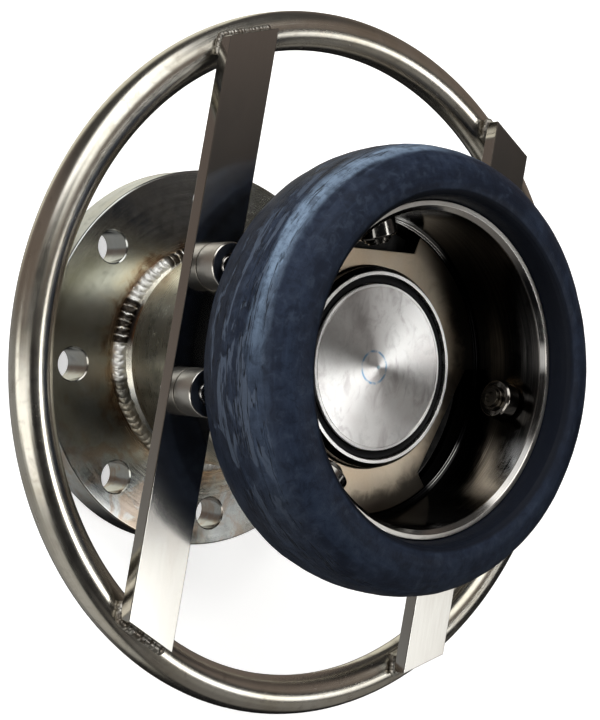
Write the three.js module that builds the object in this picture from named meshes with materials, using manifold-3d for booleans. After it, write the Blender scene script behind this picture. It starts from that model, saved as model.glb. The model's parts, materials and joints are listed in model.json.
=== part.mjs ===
// Dry-disconnect hose coupler, 4 inch, with a flange end, a swivel and a handwheel.
// Millimetres. +Z is the axis of the coupler, from the flange face (z = 0) to the open mouth.
// +X runs along the two flat bars of the handwheel. The coupler stands on its flange face.
import * as THREE from 'three';
import { mergeVertices } from 'three/addons/utils/BufferGeometryUtils.js';
import Module from 'manifold-3d';

const wasm = await Module();
wasm.setup();

// ---------------------------------------------------------------- driving dimensions
const SEG = 36;                    // facets round a large diameter

const FLANGE_R = 114.3;            // pipe flange, outer radius
const FLANGE_T = 23.9;             // flange thickness with its raised face
const RAISED_R = 78.6;             // gasket face
const RAISED_H = 1.6;
const BOLT_CIRCLE_R = 95.25;
const BOLT_HOLE_R = 9.55;
const BOLT_COUNT = 8;
const BOLT_PHASE = 13.06;          // degrees from the handwheel bars at rest

const PIPE_R = 57.15;              // neck pipe, outer radius
const BORE_R = 51.1;               // flow bore
const PIPE_TOP = 88.4;
const BALL_Z = [52, 68];           // the two ball races of the swivel
const BALL_R = 2.9;
const BALL_COUNT = 8;
const RACE_HALF = 3.15;

const HOUSING_R = 64;              // swivel housing
const HOUSING_Z0 = 36.0;
const COLLAR_R = 62.9;              // collar between flange and swivel
const HOUSING_Z1 = 117.7;
const SHOULDER_R = 73;
const SHOULDER_Z = 109.7;

const BARREL_R = 64.0;             // valve body
const BARREL_BORE = 54.4;
const PLATE_Z0 = 159.8;
const PLATE_Z1 = 171.4;
const PLATE_R = 79.9;
const NOTCH_CHORD = 63.4;          // distance of the notch floor from the axis
const NOTCH_FROM = -43.6;          // degrees from the roller that the notch makes room for
const NOTCH_TO = 12;
const NOTCH_MID = -18.5;

const BELL_Z1 = 222.3;             // mouth
const BELL_R = 87.2;
const BELL_BORE = 82.2;
const BELL_LEDGE_R = 80.4;
const WEB_Z0 = 147;
const WEB_Z1 = 157.2;
const HUB_R = 74;
const HUB_BORE = 64.4;
const HUB_Z0 = 118.2;
const BELL_BACK_R = 92;
const BELL_WAIST_R = 80;            // behind the lugs, where the bars pass

const ROLLER_ANGLES = [207.5, 327.5, 87.5];
const ROLLER_Z = 198.0;
const ROLLER_R = 10.9;

const LUG_X = 32.4;                // lugs that carry the handwheel bars
const LUG_Y = [-98.6, 97.0];
const LUG_R = 12.4;
const LUG_Z0 = 154.0;
const LUG_Z1 = 168.0;

const WHEEL_R = 183.7;             // handwheel ring, centre line
const WHEEL_TUBE_R = 10.65;
const WHEEL_Z = 131.2;
const BAR_Z0 = 145.3;
const BAR_Z1 = 153.7;
const BAR_HALF = 14.75;
const BARS = [                     // centre line y at x = 0, slope in degrees
  { name: 'handwheel_bar_1', y: -98.8, tilt: 0.33 },
  { name: 'handwheel_bar_2', y: 96.8, tilt: -0.78 },
];
const BAR_END_OUTER = 150.2;
const BAR_END_INNER = 163.7;
const BOLT_R = 5.85;               // bolts that hold the bars

const TURN = 105;                  // degrees from shut to open
const STROKE = 18;                 // travel of the piston over that turn
const PIN_ANGLES = [27.5, 147.5, 267.5];
const PIN_Z = 127;
const PIN_R = 4;

const PISTON_R = 54.0;
const PISTON_BORE = 51.2;
const POPPET_R = 44.6;
const POPPET_Z = 179.05;
const STEM_R = 8;

// ---------------------------------------------------------------- finishes
const steelBrushed = { color: 0x8f8a82, roughness: 0.38, metalness: 1 };
const steelTurned = { color: 0xb9b7b2, roughness: 0.28, metalness: 1 };
const steelCast = { color: 0x8c8478, roughness: 0.5, metalness: 1 };
const steelWheel = { color: 0x7d766c, roughness: 0.34, metalness: 1 };
const steelBolt = { color: 0xa7a8aa, roughness: 0.3, metalness: 1 };
const steelWeld = { color: 0xc9c5bd, roughness: 0.45, metalness: 1 };
const springSteel = { color: 0x9a9c9e, roughness: 0.35, metalness: 1 };
const rubberBlue = { color: 0x252d3b, roughness: 0.75, metalness: 0 };
const rubberBlack = { color: 0x121214, roughness: 0.6, metalness: 0 };
const ptfe = { color: 0x3a3a3b, roughness: 0.6, metalness: 0 };
const bronze = { color: 0x9a6a35, roughness: 0.45, metalness: 1 };

// ---------------------------------------------------------------- helpers
const rad = THREE.MathUtils.degToRad;

function weldVertices(geometry) {
  const g = geometry.clone();
  for (const key of Object.keys(g.attributes)) if (key !== 'position') g.deleteAttribute(key);
  return mergeVertices(g, 1e-4);
}

function signedVolume(g) {
  const p = g.attributes.position.array, t = g.index.array;
  let v = 0;
  for (let i = 0; i < t.length; i += 3) {
    const a = 3 * t[i], b = 3 * t[i + 1], c = 3 * t[i + 2];
    v += p[a] * (p[b + 1] * p[c + 2] - p[b + 2] * p[c + 1])
       - p[a + 1] * (p[b] * p[c + 2] - p[b + 2] * p[c])
       + p[a + 2] * (p[b] * p[c + 1] - p[b + 1] * p[c]);
  }
  return v;
}

// Merged vertices, no triangle of zero area, faces pointing out.
function clean(geometry) {
  const g = weldVertices(geometry);
  const src = g.index.array, keep = [];
  for (let i = 0; i < src.length; i += 3) {
    const [a, b, c] = [src[i], src[i + 1], src[i + 2]];
    if (a !== b && b !== c && c !== a) keep.push(a, b, c);
  }
  g.setIndex(keep);
  if (signedVolume(g) < 0) {
    const k = g.index.array;
    for (let i = 0; i < k.length; i += 3) [k[i + 1], k[i + 2]] = [k[i + 2], k[i + 1]];
  }
  return g;
}

function solid(geometry) {
  const g = clean(geometry);
  return new wasm.Manifold(new wasm.Mesh({
    numProp: 3,
    vertProperties: new Float32Array(g.attributes.position.array),
    triVerts: new Uint32Array(g.index.array),
  }));
}

function fromSolid(s) {
  const m = s.getMesh();
  const g = new THREE.BufferGeometry();
  g.setAttribute('position', new THREE.BufferAttribute(new Float32Array(m.vertProperties), 3));
  g.setIndex(new THREE.BufferAttribute(new Uint32Array(m.triVerts), 1));
  return g;
}

// Body of revolution about Z from [r, z] points; a loop that is off the axis closes on itself.
function turned(profile, segments = SEG, phase = 0) {
  const pts = profile.map(([r, z]) => new THREE.Vector2(r, z));
  if (profile[0][0] > 1e-6) pts.push(pts[0].clone());
  const g = new THREE.LatheGeometry(pts, segments);
  g.rotateX(Math.PI / 2);
  g.rotateZ(phase);
  return clean(g);
}

// Upright round bar from z0 to z1 at (x, y).
function post(r, z0, z1, x = 0, y = 0, segments = 16) {
  const g = new THREE.CylinderGeometry(r, r, z1 - z0, segments);
  g.rotateX(Math.PI / 2);
  g.translate(x, y, (z0 + z1) / 2);
  return g;
}

// Turned piece whose axis is radial: profile [radius of the piece, distance from the Z axis].
function radial(profile, angle, z, segments = 20) {
  const g = turned(profile, segments);
  g.rotateY(Math.PI / 2);
  g.rotateZ(rad(angle));
  g.translate(0, 0, z);
  return g;
}

function outline(points, z0, z1) {
  const shape = new THREE.Shape(points.map(([x, y]) => new THREE.Vector2(x, y)));
  const g = new THREE.ExtrudeGeometry(shape, { depth: z1 - z0, bevelEnabled: false });
  g.translate(0, 0, z0);
  return g;
}

function block(x0, x1, y0, y1, z0, z1, angle = 0) {
  const g = new THREE.BoxGeometry(x1 - x0, y1 - y0, z1 - z0);
  g.translate((x0 + x1) / 2, (y0 + y1) / 2, (z0 + z1) / 2);
  g.rotateZ(rad(angle));
  return g;
}

class Helix extends THREE.Curve {
  constructor(r, a0, a1, z0, z1) {
    super();
    Object.assign(this, { r, a0, a1, z0, z1 });
  }
  getPoint(t, target = new THREE.Vector3()) {
    const a = this.a0 + (this.a1 - this.a0) * t;
    return target.set(this.r * Math.cos(a), this.r * Math.sin(a), this.z0 + (this.z1 - this.z0) * t);
  }
}

function rodAlong(curve, r, sides, steps) {
  const shape = new THREE.Shape();
  for (let i = 0; i < sides; i++) {
    const a = 2 * Math.PI * i / sides;
    shape[i ? 'lineTo' : 'moveTo'](r * Math.cos(a), r * Math.sin(a));
  }
  shape.closePath();
  return new THREE.ExtrudeGeometry(shape, { steps, extrudePath: curve, bevelEnabled: false });
}

const hexPoints = (acrossFlats, x = 0, y = 0) => [...Array(6)].map((_, i) => {
  const a = rad(60 * i + 30), r = acrossFlats / Math.sqrt(3);
  return [x + r * Math.cos(a), y + r * Math.sin(a)];
});

const coupler = new THREE.Group();
const flangeEnd = new THREE.Group();
const swivelEnd = new THREE.Group();
const bellGroup = new THREE.Group();
const handwheel = new THREE.Group();
const pistonGroup = new THREE.Group();
const poppetGroup = new THREE.Group();
coupler.add(flangeEnd, swivelEnd);
swivelEnd.add(bellGroup, pistonGroup);
bellGroup.add(handwheel);
pistonGroup.add(poppetGroup);

function add(parent, name, geometry, finish) {
  const mesh = new THREE.Mesh(geometry, new THREE.MeshStandardMaterial(finish));
  mesh.name = name;
  parent.add(mesh);
  return mesh;
}

// ---------------------------------------------------------------- flange end
{
  let s = solid(turned([
    [PIPE_R + 0.15, 0], [RAISED_R, 0], [RAISED_R, RAISED_H], [FLANGE_R, RAISED_H],
    [FLANGE_R, FLANGE_T - 1.2], [FLANGE_R - 1.2, FLANGE_T], [PIPE_R + 0.15, FLANGE_T],
  ], SEG));
  for (let i = 0; i < BOLT_COUNT; i++) {
    const a = rad(BOLT_PHASE + i * 360 / BOLT_COUNT);
    s = s.subtract(solid(post(BOLT_HOLE_R, -5, FLANGE_T + 5,
      BOLT_CIRCLE_R * Math.cos(a), BOLT_CIRCLE_R * Math.sin(a), 16)));
  }
  add(flangeEnd, 'pipe_flange', fromSolid(s), steelBrushed);
}

// Slip-on neck pipe with a collar on the flange; its front end is the inner race of the swivel.
add(flangeEnd, 'neck_pipe', turned([
  [BORE_R, 2.5], [PIPE_R, 2.5],
  [PIPE_R, FLANGE_T + 0.3], [COLLAR_R, FLANGE_T + 0.3], [COLLAR_R, HOUSING_Z0 - 0.4], [PIPE_R, HOUSING_Z0 - 0.4],
  [PIPE_R, BALL_Z[0] - RACE_HALF], [54.1, BALL_Z[0] - RACE_HALF], [54.1, BALL_Z[0] + RACE_HALF], [PIPE_R, BALL_Z[0] + RACE_HALF],
  [PIPE_R, BALL_Z[1] - RACE_HALF], [54.1, BALL_Z[1] - RACE_HALF], [54.1, BALL_Z[1] + RACE_HALF], [PIPE_R, BALL_Z[1] + RACE_HALF],
  [PIPE_R, PIPE_TOP], [BORE_R, PIPE_TOP],
]), steelBrushed);

add(flangeEnd, 'flange_weld_bead', turned([
  [COLLAR_R + 0.05, FLANGE_T + 0.05], [69.3, FLANGE_T + 0.05], [67.4, 27.2], [65.2, 29.0], [COLLAR_R + 0.05, 29.8],
]), steelWeld);

// ---------------------------------------------------------------- swivel balls, seals and housing
BALL_Z.forEach((z, row) => {
  let s = solid(turned([[56.7, z - 0.7], [58.0, z - 0.7], [58.0, z + 0.7], [56.7, z + 0.7]], 24));
  for (let i = 0; i < BALL_COUNT; i++) {
    const a = rad((i + 0.5 * row) * 360 / BALL_COUNT);
    const ball = new THREE.SphereGeometry(BALL_R, 6, 4);
    ball.rotateX(Math.PI / 2);
    ball.rotateZ(a);
    ball.translate(57.35 * Math.cos(a), 57.35 * Math.sin(a), z);
    s = s.add(solid(ball));
  }
  add(swivelEnd, row ? 'swivel_balls_front' : 'swivel_balls_rear', fromSolid(s), steelBolt);
});

add(swivelEnd, 'swivel_o_ring', turned([[57.6, 80.0], [59.1, 78.2], [60.6, 80.0], [59.1, 81.9]], SEG), rubberBlack);
add(swivelEnd, 'swivel_dust_seal', turned([[57.65, 38.6], [59.8, 38.6], [59.8, 41.0], [57.65, 40.2]], SEG), rubberBlack);

{
  let s = solid(turned([
    [HOUSING_R - 0.7, HOUSING_Z0], [HOUSING_R, HOUSING_Z0 + 0.7], [HOUSING_R, SHOULDER_Z], [SHOULDER_R, SHOULDER_Z],
    [SHOULDER_R, HOUSING_Z1], [60.4, HOUSING_Z1], [60.4, 89.6], [57.5, 89.6],
    [57.5, 82.2], [60.9, 82.2], [60.9, 77.9], [57.5, 77.9],
    [57.5, BALL_Z[1] + RACE_HALF], [60.6, BALL_Z[1] + RACE_HALF], [60.6, BALL_Z[1] - RACE_HALF], [57.5, BALL_Z[1] - RACE_HALF],
    [57.5, BALL_Z[0] + RACE_HALF], [60.6, BALL_Z[0] + RACE_HALF], [60.6, BALL_Z[0] - RACE_HALF], [57.5, BALL_Z[0] - RACE_HALF],
    [57.5, 41.3], [60.1, 41.3], [60.1, 38.3], [57.5, 38.3], [57.5, HOUSING_Z0],
  ]));
  BALL_Z.forEach((z, row) => {
    s = s.subtract(solid(radial([[0, 58], [3.7, 58], [3.7, 67], [0, 67]], row ? 100 : 80, z, 12)));
  });
  add(swivelEnd, 'swivel_housing', fromSolid(s), steelBrushed);
}
BALL_Z.forEach((z, row) => {
  // Threaded plug in the hole that the balls are loaded through.
  let s = solid(radial([[0, 61.0], [3.4, 61.0], [3.4, 63.7], [0, 63.7]], 0, 0, 12));
  const slot = new THREE.BoxGeometry(1.6, 1.1, 8);
  slot.translate(63.6, 0, 0);
  s = s.subtract(solid(slot));
  const g = fromSolid(s);
  g.rotateZ(rad(row ? 100 : 80));
  g.translate(0, 0, z);
  add(swivelEnd, row ? 'ball_plug_front' : 'ball_plug_rear', g, steelBolt);
});

// ---------------------------------------------------------------- valve body
{
  let s = solid(turned([
    [BARREL_BORE, 90.0], [60.1, 90.0], [60.1, HOUSING_Z1 + 0.3], [BARREL_R, HOUSING_Z1 + 0.3],
    [BARREL_R, PLATE_Z0], [PLATE_R, PLATE_Z0], [PLATE_R, PLATE_Z1 - 0.8], [PLATE_R - 0.8, PLATE_Z1],
    [BARREL_BORE + 0.8, PLATE_Z1], [BARREL_BORE, PLATE_Z1 - 0.8],
    [BARREL_BORE, 116.4], [57.6, 116.4], [57.6, 111.9], [BARREL_BORE, 111.9],
  ]));
  // Notches that the three rollers of the mating half pass through.
  for (const a of ROLLER_ANGLES) {
    const p0 = rad(a + NOTCH_FROM), p1 = rad(a + NOTCH_TO), m = rad(a + NOTCH_MID);
    const onChord = (t) => {
      const r = NOTCH_CHORD / Math.cos(t - m);
      return [r * Math.cos(t), r * Math.sin(t)];
    };
    const far = (t) => [95 * Math.cos(t), 95 * Math.sin(t)];
    s = s.subtract(solid(outline([onChord(p0), far(p0), far((p0 + p1) / 2), far(p1), onChord(p1)], PLATE_Z0 - 0.001, PLATE_Z1 + 3)));
  }
  // Straight slots for the drive pins.
  for (const a of PIN_ANGLES) {
    s = s.subtract(solid(block(50, 70, -PIN_R - 0.4, PIN_R + 0.4, PIN_Z - PIN_R - 0.6, PIN_Z + STROKE + PIN_R + 0.6, a)));
  }
  add(swivelEnd, 'valve_body', fromSolid(s), steelCast);
}
add(swivelEnd, 'piston_o_ring', turned([[54.5, 114.1], [56.0, 112.2], [57.4, 114.1], [56.0, 116.1]], SEG), rubberBlack);

// ---------------------------------------------------------------- bell
{
  let s = solid(turned([
    [BELL_R, BELL_Z1 - 0.6], [BELL_R - 0.6, BELL_Z1], [84.6, BELL_Z1], [BELL_BORE, BELL_Z1 - 2.4], [BELL_BORE, PLATE_Z1],
    [BELL_LEDGE_R, PLATE_Z1], [BELL_LEDGE_R, WEB_Z1], [HUB_BORE, WEB_Z1],
    [HUB_BORE, 155.6], [66.8, 155.6], [66.8, 150.9], [HUB_BORE, 150.9],
    [HUB_BORE, HUB_Z0], [HUB_R, HUB_Z0], [HUB_R, WEB_Z0], [BELL_WAIST_R - 1.5, WEB_Z0], [BELL_WAIST_R, WEB_Z0 + 1.5],
    [BELL_WAIST_R, LUG_Z0 + 0.4], [BELL_BACK_R, LUG_Z0 + 0.4], [BELL_BACK_R, 170.9], [BELL_R, 170.9],
  ]));
  for (const y of LUG_Y) {
    for (const x of [-LUG_X, LUG_X]) {
      const a = Math.atan2(y, x) * 180 / Math.PI, d = Math.hypot(x, y);
      s = s.add(solid(post(LUG_R, LUG_Z0, LUG_Z1, x, y, 20)));
      s = s.add(solid(block(88, d, -8.5, 8.5, LUG_Z0 + 1.2, LUG_Z1 - 1.5, a)));
      s = s.subtract(solid(post(6.3, LUG_Z0 - 2, LUG_Z1 + 2, x, y, 14)));
    }
  }
  // Holes of the roller pins.
  for (const a of ROLLER_ANGLES) {
    s = s.subtract(solid(radial([[0, 75], [4.75, 75], [4.75, 95], [0, 95]], a, ROLLER_Z, 14)));
  }
  // Helical grooves that push the drive pins forward as the bell turns.
  for (const a of PIN_ANGLES) {
    const helix = new Helix(64.3, rad(a + 4), rad(a - TURN - 4), PIN_Z - STROKE * 4 / TURN, PIN_Z + STROKE + STROKE * 4 / TURN);
    s = s.subtract(solid(rodAlong(helix, 4.75, 6, 11)));
  }
  add(bellGroup, 'bell_housing', fromSolid(s), steelTurned);
}
add(bellGroup, 'bell_bearing_band', turned([[64.3, 151.2], [66.6, 151.2], [66.6, 155.3], [64.3, 155.3]], SEG), bronze);
add(bellGroup, 'thrust_washer', turned([[64.6, 157.4], [78.6, 157.4], [78.6, 159.4], [64.6, 159.4]], SEG), ptfe);

add(bellGroup, 'rubber_bumper', turned([
  [87.5, 171.5], [108, 171.5], [112.6, 176], [116.4, 188], [117.5, 205.2], [116.5, 217],
  [112.8, 226.2], [107.0, 231.9], [100.5, 234.6], [95.0, 235.8], [90.9, 234.7], [88.6, 231.0], [87.5, 222.2],
]), rubberBlue);

ROLLER_ANGLES.forEach((a, i) => {
  add(bellGroup, `roller_pin_${i + 1}`, radial([
    [0, 67.7], [5.9, 67.7], [6.9, 68.5], [6.9, 70.8], [4.5, 70.8], [4.5, 86.2], [0, 86.2],
  ], a, ROLLER_Z, 16), steelBolt);
  add(bellGroup, `cam_roller_${i + 1}`, radial([
    [4.75, 71.2], [9.7, 71.2], [ROLLER_R, 72.3], [ROLLER_R, 79.8], [10.0, 80.7], [4.75, 80.7],
  ], a, ROLLER_Z, 20), steelTurned);
});

// ---------------------------------------------------------------- handwheel
const ringGeometry = (tube, seg = 48, sides = 8) => {
  const g = new THREE.TorusGeometry(WHEEL_R, tube, sides, seg);
  g.translate(0, 0, WHEEL_Z);
  return g;
};
add(handwheel, 'handwheel_ring', clean(ringGeometry(WHEEL_TUBE_R)), steelWheel);

const ringTool = solid(ringGeometry(WHEEL_TUBE_R + 0.15));
BARS.forEach((bar, b) => {
  const side = Math.sign(bar.y), slope = Math.tan(rad(bar.tilt));
  const at = (x, off) => [x, bar.y + slope * x + side * off];
  const corners = [at(-BAR_END_INNER, -BAR_HALF), at(BAR_END_INNER, -BAR_HALF), at(BAR_END_OUTER, BAR_HALF), at(-BAR_END_OUTER, BAR_HALF)];
  let s = solid(outline(corners, BAR_Z0, BAR_Z1));
  for (const x of [-LUG_X, LUG_X]) s = s.subtract(solid(post(6.4, BAR_Z0 - 2, BAR_Z1 + 2, x, LUG_Y[b], 16)));
  add(handwheel, bar.name, fromSolid(s), steelBrushed);

  // Weld between each bar end and the ring.
  for (const sx of [-1, 1]) {
    const pad = [at(sx * (BAR_END_INNER - 9), -BAR_HALF + 1), at(sx * (BAR_END_INNER + 1.2), -BAR_HALF + 1),
      at(sx * (BAR_END_OUTER + 1.2), BAR_HALF - 1), at(sx * (BAR_END_OUTER - 9), BAR_HALF - 1)];
    const w = solid(outline(pad, 136.6, BAR_Z0 - 0.1)).subtract(ringTool);
    add(handwheel, `bar_weld_${2 * b + (sx < 0 ? 1 : 2)}`, fromSolid(w), steelWeld);
  }
  // Hex bolts from behind the bar into the lugs.
  [-LUG_X, LUG_X].forEach((x, k) => {
    const head = solid(outline(hexPoints(18, x, LUG_Y[b]), BAR_Z0 - 7.6, BAR_Z0 - 0.1));
    const shank = solid(post(BOLT_R, BAR_Z0 - 1, LUG_Z1 - 0.4, x, LUG_Y[b], 16));
    add(handwheel, `bar_bolt_${2 * b + k + 1}`, fromSolid(head.add(shank)), steelBolt);
  });
});

// ---------------------------------------------------------------- piston and poppet
{
  let s = solid(turned([
    [49.6, 90.5], [PISTON_R, 90.5], [PISTON_R, 172.0], [PISTON_BORE, 172.0], [PISTON_BORE, 111.8], [49.6, 111.8],
  ]));
  for (const a of PIN_ANGLES) s = s.subtract(solid(radial([[0, 45], [PIN_R + 0.15, 45], [PIN_R + 0.15, 60], [0, 60]], a, PIN_Z, 12)));
  add(pistonGroup, 'piston_sleeve', fromSolid(s), steelTurned);
}
add(pistonGroup, 'seat_ring', turned([
  [46.0, 160.3], [51.0, 160.3], [51.0, 172.3], [PISTON_R, 172.3], [PISTON_R, 176.2], [52.0, 179.6], [49.4, 179.6], [49.4, 172.5], [46.0, 172.5],
]), steelTurned);
add(pistonGroup, 'face_seal', turned([[45.1, 172.7], [49.2, 172.7], [49.2, 177.6], [45.1, 177.6]]), rubberBlack);
PIN_ANGLES.forEach((a, i) => {
  add(pistonGroup, `drive_pin_${i + 1}`, radial([
    [0, 51.5], [PIN_R, 51.5], [PIN_R, 64.3], [3.5, 65.6], [2.2, 66.8], [0, 67.2],
  ], a, PIN_Z, 12), steelBolt);
});
{
  let s = solid(turned([[8.35, 108.4], [14, 108.4], [14, 124], [12, 128], [8.35, 128]], 24));
  s = s.add(solid(turned([[46.5, 112.1], [50.9, 112.1], [50.9, 121], [46.5, 121]], 36)));
  for (let i = 0; i < 3; i++) s = s.add(solid(block(11.5, 48.5, -2.6, 2.6, 112.1, 121, 60 + 120 * i)));
  add(pistonGroup, 'stem_guide_spider', fromSolid(s), steelCast);
}

add(poppetGroup, 'poppet_disc', turned([
  [0, 174.5], [STEM_R + 0.25, 174.5], [STEM_R + 0.25, 162], [13, 162], [13, 166], [36, 167.6], [POPPET_R, 171.6],
  [POPPET_R, 173.2], [42.3, 173.2], [42.3, 176.8], [POPPET_R, 176.8], [POPPET_R, POPPET_Z], [0, POPPET_Z],
]), steelTurned);
add(poppetGroup, 'poppet_o_ring', turned([[42.5, 175.0], [43.6, 173.5], [44.8, 175.0], [43.6, 176.5]], SEG), rubberBlack);
add(poppetGroup, 'poppet_stem', turned([[0, 96.5], [7, 96.5], [STEM_R, 97.5], [STEM_R, 174.2], [0, 174.2]], 20), steelTurned);
{
  const s = solid(outline(hexPoints(24), 100.6, 108.1)).subtract(solid(post(STEM_R + 0.25, 95, 115, 0, 0, 20)));
  add(poppetGroup, 'stem_nut', fromSolid(s), steelBolt);
}
add(poppetGroup, 'poppet_spring', clean(rodAlong(new Helix(19, 0, 2 * Math.PI * 4.5, 123.4, 164.0), 1.7, 6, 45)), springSteel);

export default coupler;
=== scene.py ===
import json
import math

import bmesh
import bpy
import numpy as np
from mathutils import Matrix, Vector


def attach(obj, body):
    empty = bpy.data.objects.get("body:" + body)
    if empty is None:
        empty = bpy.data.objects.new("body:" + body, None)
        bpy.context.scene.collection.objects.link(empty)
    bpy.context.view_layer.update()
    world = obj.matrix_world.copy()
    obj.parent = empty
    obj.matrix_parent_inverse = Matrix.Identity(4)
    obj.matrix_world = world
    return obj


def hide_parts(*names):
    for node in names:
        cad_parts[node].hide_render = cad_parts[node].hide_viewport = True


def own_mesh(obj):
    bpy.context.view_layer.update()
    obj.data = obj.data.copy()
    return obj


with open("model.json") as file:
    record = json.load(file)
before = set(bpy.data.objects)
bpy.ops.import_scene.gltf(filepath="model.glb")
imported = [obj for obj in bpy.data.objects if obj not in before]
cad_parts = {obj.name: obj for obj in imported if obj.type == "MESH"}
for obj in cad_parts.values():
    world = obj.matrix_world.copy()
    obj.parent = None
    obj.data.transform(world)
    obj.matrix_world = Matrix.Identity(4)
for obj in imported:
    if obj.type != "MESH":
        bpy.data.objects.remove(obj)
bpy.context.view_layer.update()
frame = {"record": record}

scene = bpy.context.scene
RECORD = frame["record"]
BODY = {n: b for b, ns in RECORD["behaviour"]["bodies"].items() for n in ns}
MM = 0.001
rad = math.radians

# ------------------------------------------------------------------ dimensions, mm
SEG = 288
ROLLER_ANGLES = [207.5, 327.5, 87.5]
ROLLER_Z = 198.0
PIN_ANGLES = [27.5, 147.5, 267.5]
PIN_Z = 127.0
TURN, STROKE = 105.0, 18.0
LUG_X, LUG_Y = 32.4, [-98.6, 97.0]
WHEEL_R, WHEEL_TUBE, WHEEL_Z = 183.7, 10.65, 131.2
BAR_Z0, BAR_Z1, BAR_HALF = 145.3, 153.7, 14.75
BARS = [(-98.8, 0.33), (96.8, -0.78)]
BAR_OUT, BAR_IN = 150.2, 163.7
BALL_Z = [52.0, 68.0]


# ------------------------------------------------------------------ geometry
def link(ob):
    scene.collection.objects.link(ob)
    return ob


def mesh_object(name, verts, faces, normals=None):
    """Verts in mm. Faces as index lists. Normals, where given, are kept as they are."""
    me = bpy.data.meshes.new(name)
    me.from_pydata((np.asarray(verts, float) * MM).tolist(), [], faces)
    me.update()
    me.polygons.foreach_set("use_smooth", [True] * len(me.polygons))
    if normals is not None:
        me.normals_split_custom_set_from_vertices(np.asarray(normals, float).tolist())
    return link(bpy.data.objects.new(name, me))


def rounded(profile, default=0.35):
    """Profile [(r, z) or (r, z, fillet)] as a closed outline with its corners rounded: points and outward normals."""
    pts = [tuple(p) for p in profile]
    xy = np.array([p[:2] for p in pts], float)
    area = np.sum(xy[:, 0] * np.roll(xy[:, 1], -1) - np.roll(xy[:, 0], -1) * xy[:, 1])
    if area < 0:
        pts.reverse()
        xy = xy[::-1]
    out, nrm = [], []
    n = len(pts)
    for i in range(n):
        p, a, b = xy[i], xy[i - 1], xy[(i + 1) % n]
        e0, e1 = p - a, b - p
        l0, l1 = np.linalg.norm(e0), np.linalg.norm(e1)
        e0, e1 = e0 / l0, e1 / l1
        n0, n1 = np.array([e0[1], -e0[0]]), np.array([e1[1], -e1[0]])
        f = pts[i][2] if len(pts[i]) > 2 else default
        turn = math.acos(max(-1, min(1, float(e0 @ e1))))
        if p[0] < 1e-6 or turn < rad(1):
            if p[0] < 1e-6:  # on the axis: the normal of the edge that leaves it
                m = n0 if a[0] > 1e-6 else n1
            else:
                m = n0 + n1
            out.append(p)
            nrm.append(m / np.linalg.norm(m))
            continue
        if turn < rad(16):  # a point of a smooth curve
            m = n0 + n1
            out.append(p)
            nrm.append(m / np.linalg.norm(m))
            continue
        t = min(f * math.tan(turn / 2), 0.46 * l0, 0.46 * l1)
        f = t / math.tan(turn / 2)
        left = e0[0] * e1[1] - e0[1] * e1[0] > 0
        centre = p - e0 * t + (-n0 if left else n0) * f
        steps = max(2, math.ceil(math.degrees(turn) / 18))
        a0, a1 = math.atan2(n0[1], n0[0]), math.atan2(n1[1], n1[0])
        d = (a1 - a0 + math.pi) % (2 * math.pi) - math.pi
        for k in range(steps + 1):
            th = a0 + d * k / steps
            m = np.array([math.cos(th), math.sin(th)])
            out.append(centre + (m if left else -m) * f)
            nrm.append(m)
    return np.array(out), np.array(nrm)


def lathe_arrays(profile, seg=SEG, default=0.35, divide=0.0):
    pts, nrm = rounded(profile, default)
    if divide:  # extra rings on long straight runs, for relief that needs them
        p2, n2 = [], []
        for i in range(len(pts)):
            j = (i + 1) % len(pts)
            p2.append(pts[i])
            n2.append(nrm[i])
            if pts[i][0] < 1e-6 and pts[j][0] < 1e-6:
                continue
            k = int(np.linalg.norm(pts[j] - pts[i]) / divide)
            for q in range(1, k + 1):
                t = q / (k + 1)
                m = nrm[i] * (1 - t) + nrm[j] * t
                p2.append(pts[i] * (1 - t) + pts[j] * t)
                n2.append(m / max(1e-9, np.linalg.norm(m)))
        pts, nrm = np.array(p2), np.array(n2)
    n = len(pts)
    ang = np.arange(seg) * 2 * math.pi / seg
    c, s = np.cos(ang), np.sin(ang)
    verts, normals, start = [], [], []
    for (r, z), (nr, nz) in zip(pts, nrm):
        start.append(len(verts))
        if r < 1e-6:
            verts.append((0, 0, z))
            normals.append((0, 0, 1 if nz > 0 else -1))
        else:
            verts += list(zip(r * c, r * s, np.full(seg, z)))
            normals += list(zip(nr * c, nr * s, np.full(seg, nz)))
    faces = []
    for i in range(n):
        j = (i + 1) % n
        ai, aj = pts[i][0] < 1e-6, pts[j][0] < 1e-6
        if ai and aj:
            continue
        for k in range(seg):
            l = (k + 1) % seg
            if ai:
                faces.append((start[i], start[j] + l, start[j] + k))
            elif aj:
                faces.append((start[i] + k, start[i] + l, start[j]))
            else:
                faces.append((start[i] + k, start[i] + l, start[j] + l, start[j] + k))
    return np.array(verts, float), faces, np.array(normals, float)


def lathe(name, profile, seg=SEG, default=0.35, matrix=None, divide=0.0):
    v, f, n = lathe_arrays(profile, seg, default, divide)
    if matrix is not None:
        m = np.array(matrix, float)
        v = v @ m[:3, :3].T + m[:3, 3]
        n = n @ m[:3, :3].T
    return mesh_object(name, v, f, n)


def radial_matrix(angle, z):
    """Takes the lathe's axis to a radial line at this angle and height."""
    return Matrix.Translation((0, 0, z)) @ Matrix.Rotation(rad(angle), 4, "Z") @ Matrix.Rotation(rad(90), 4, "Y")


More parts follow.
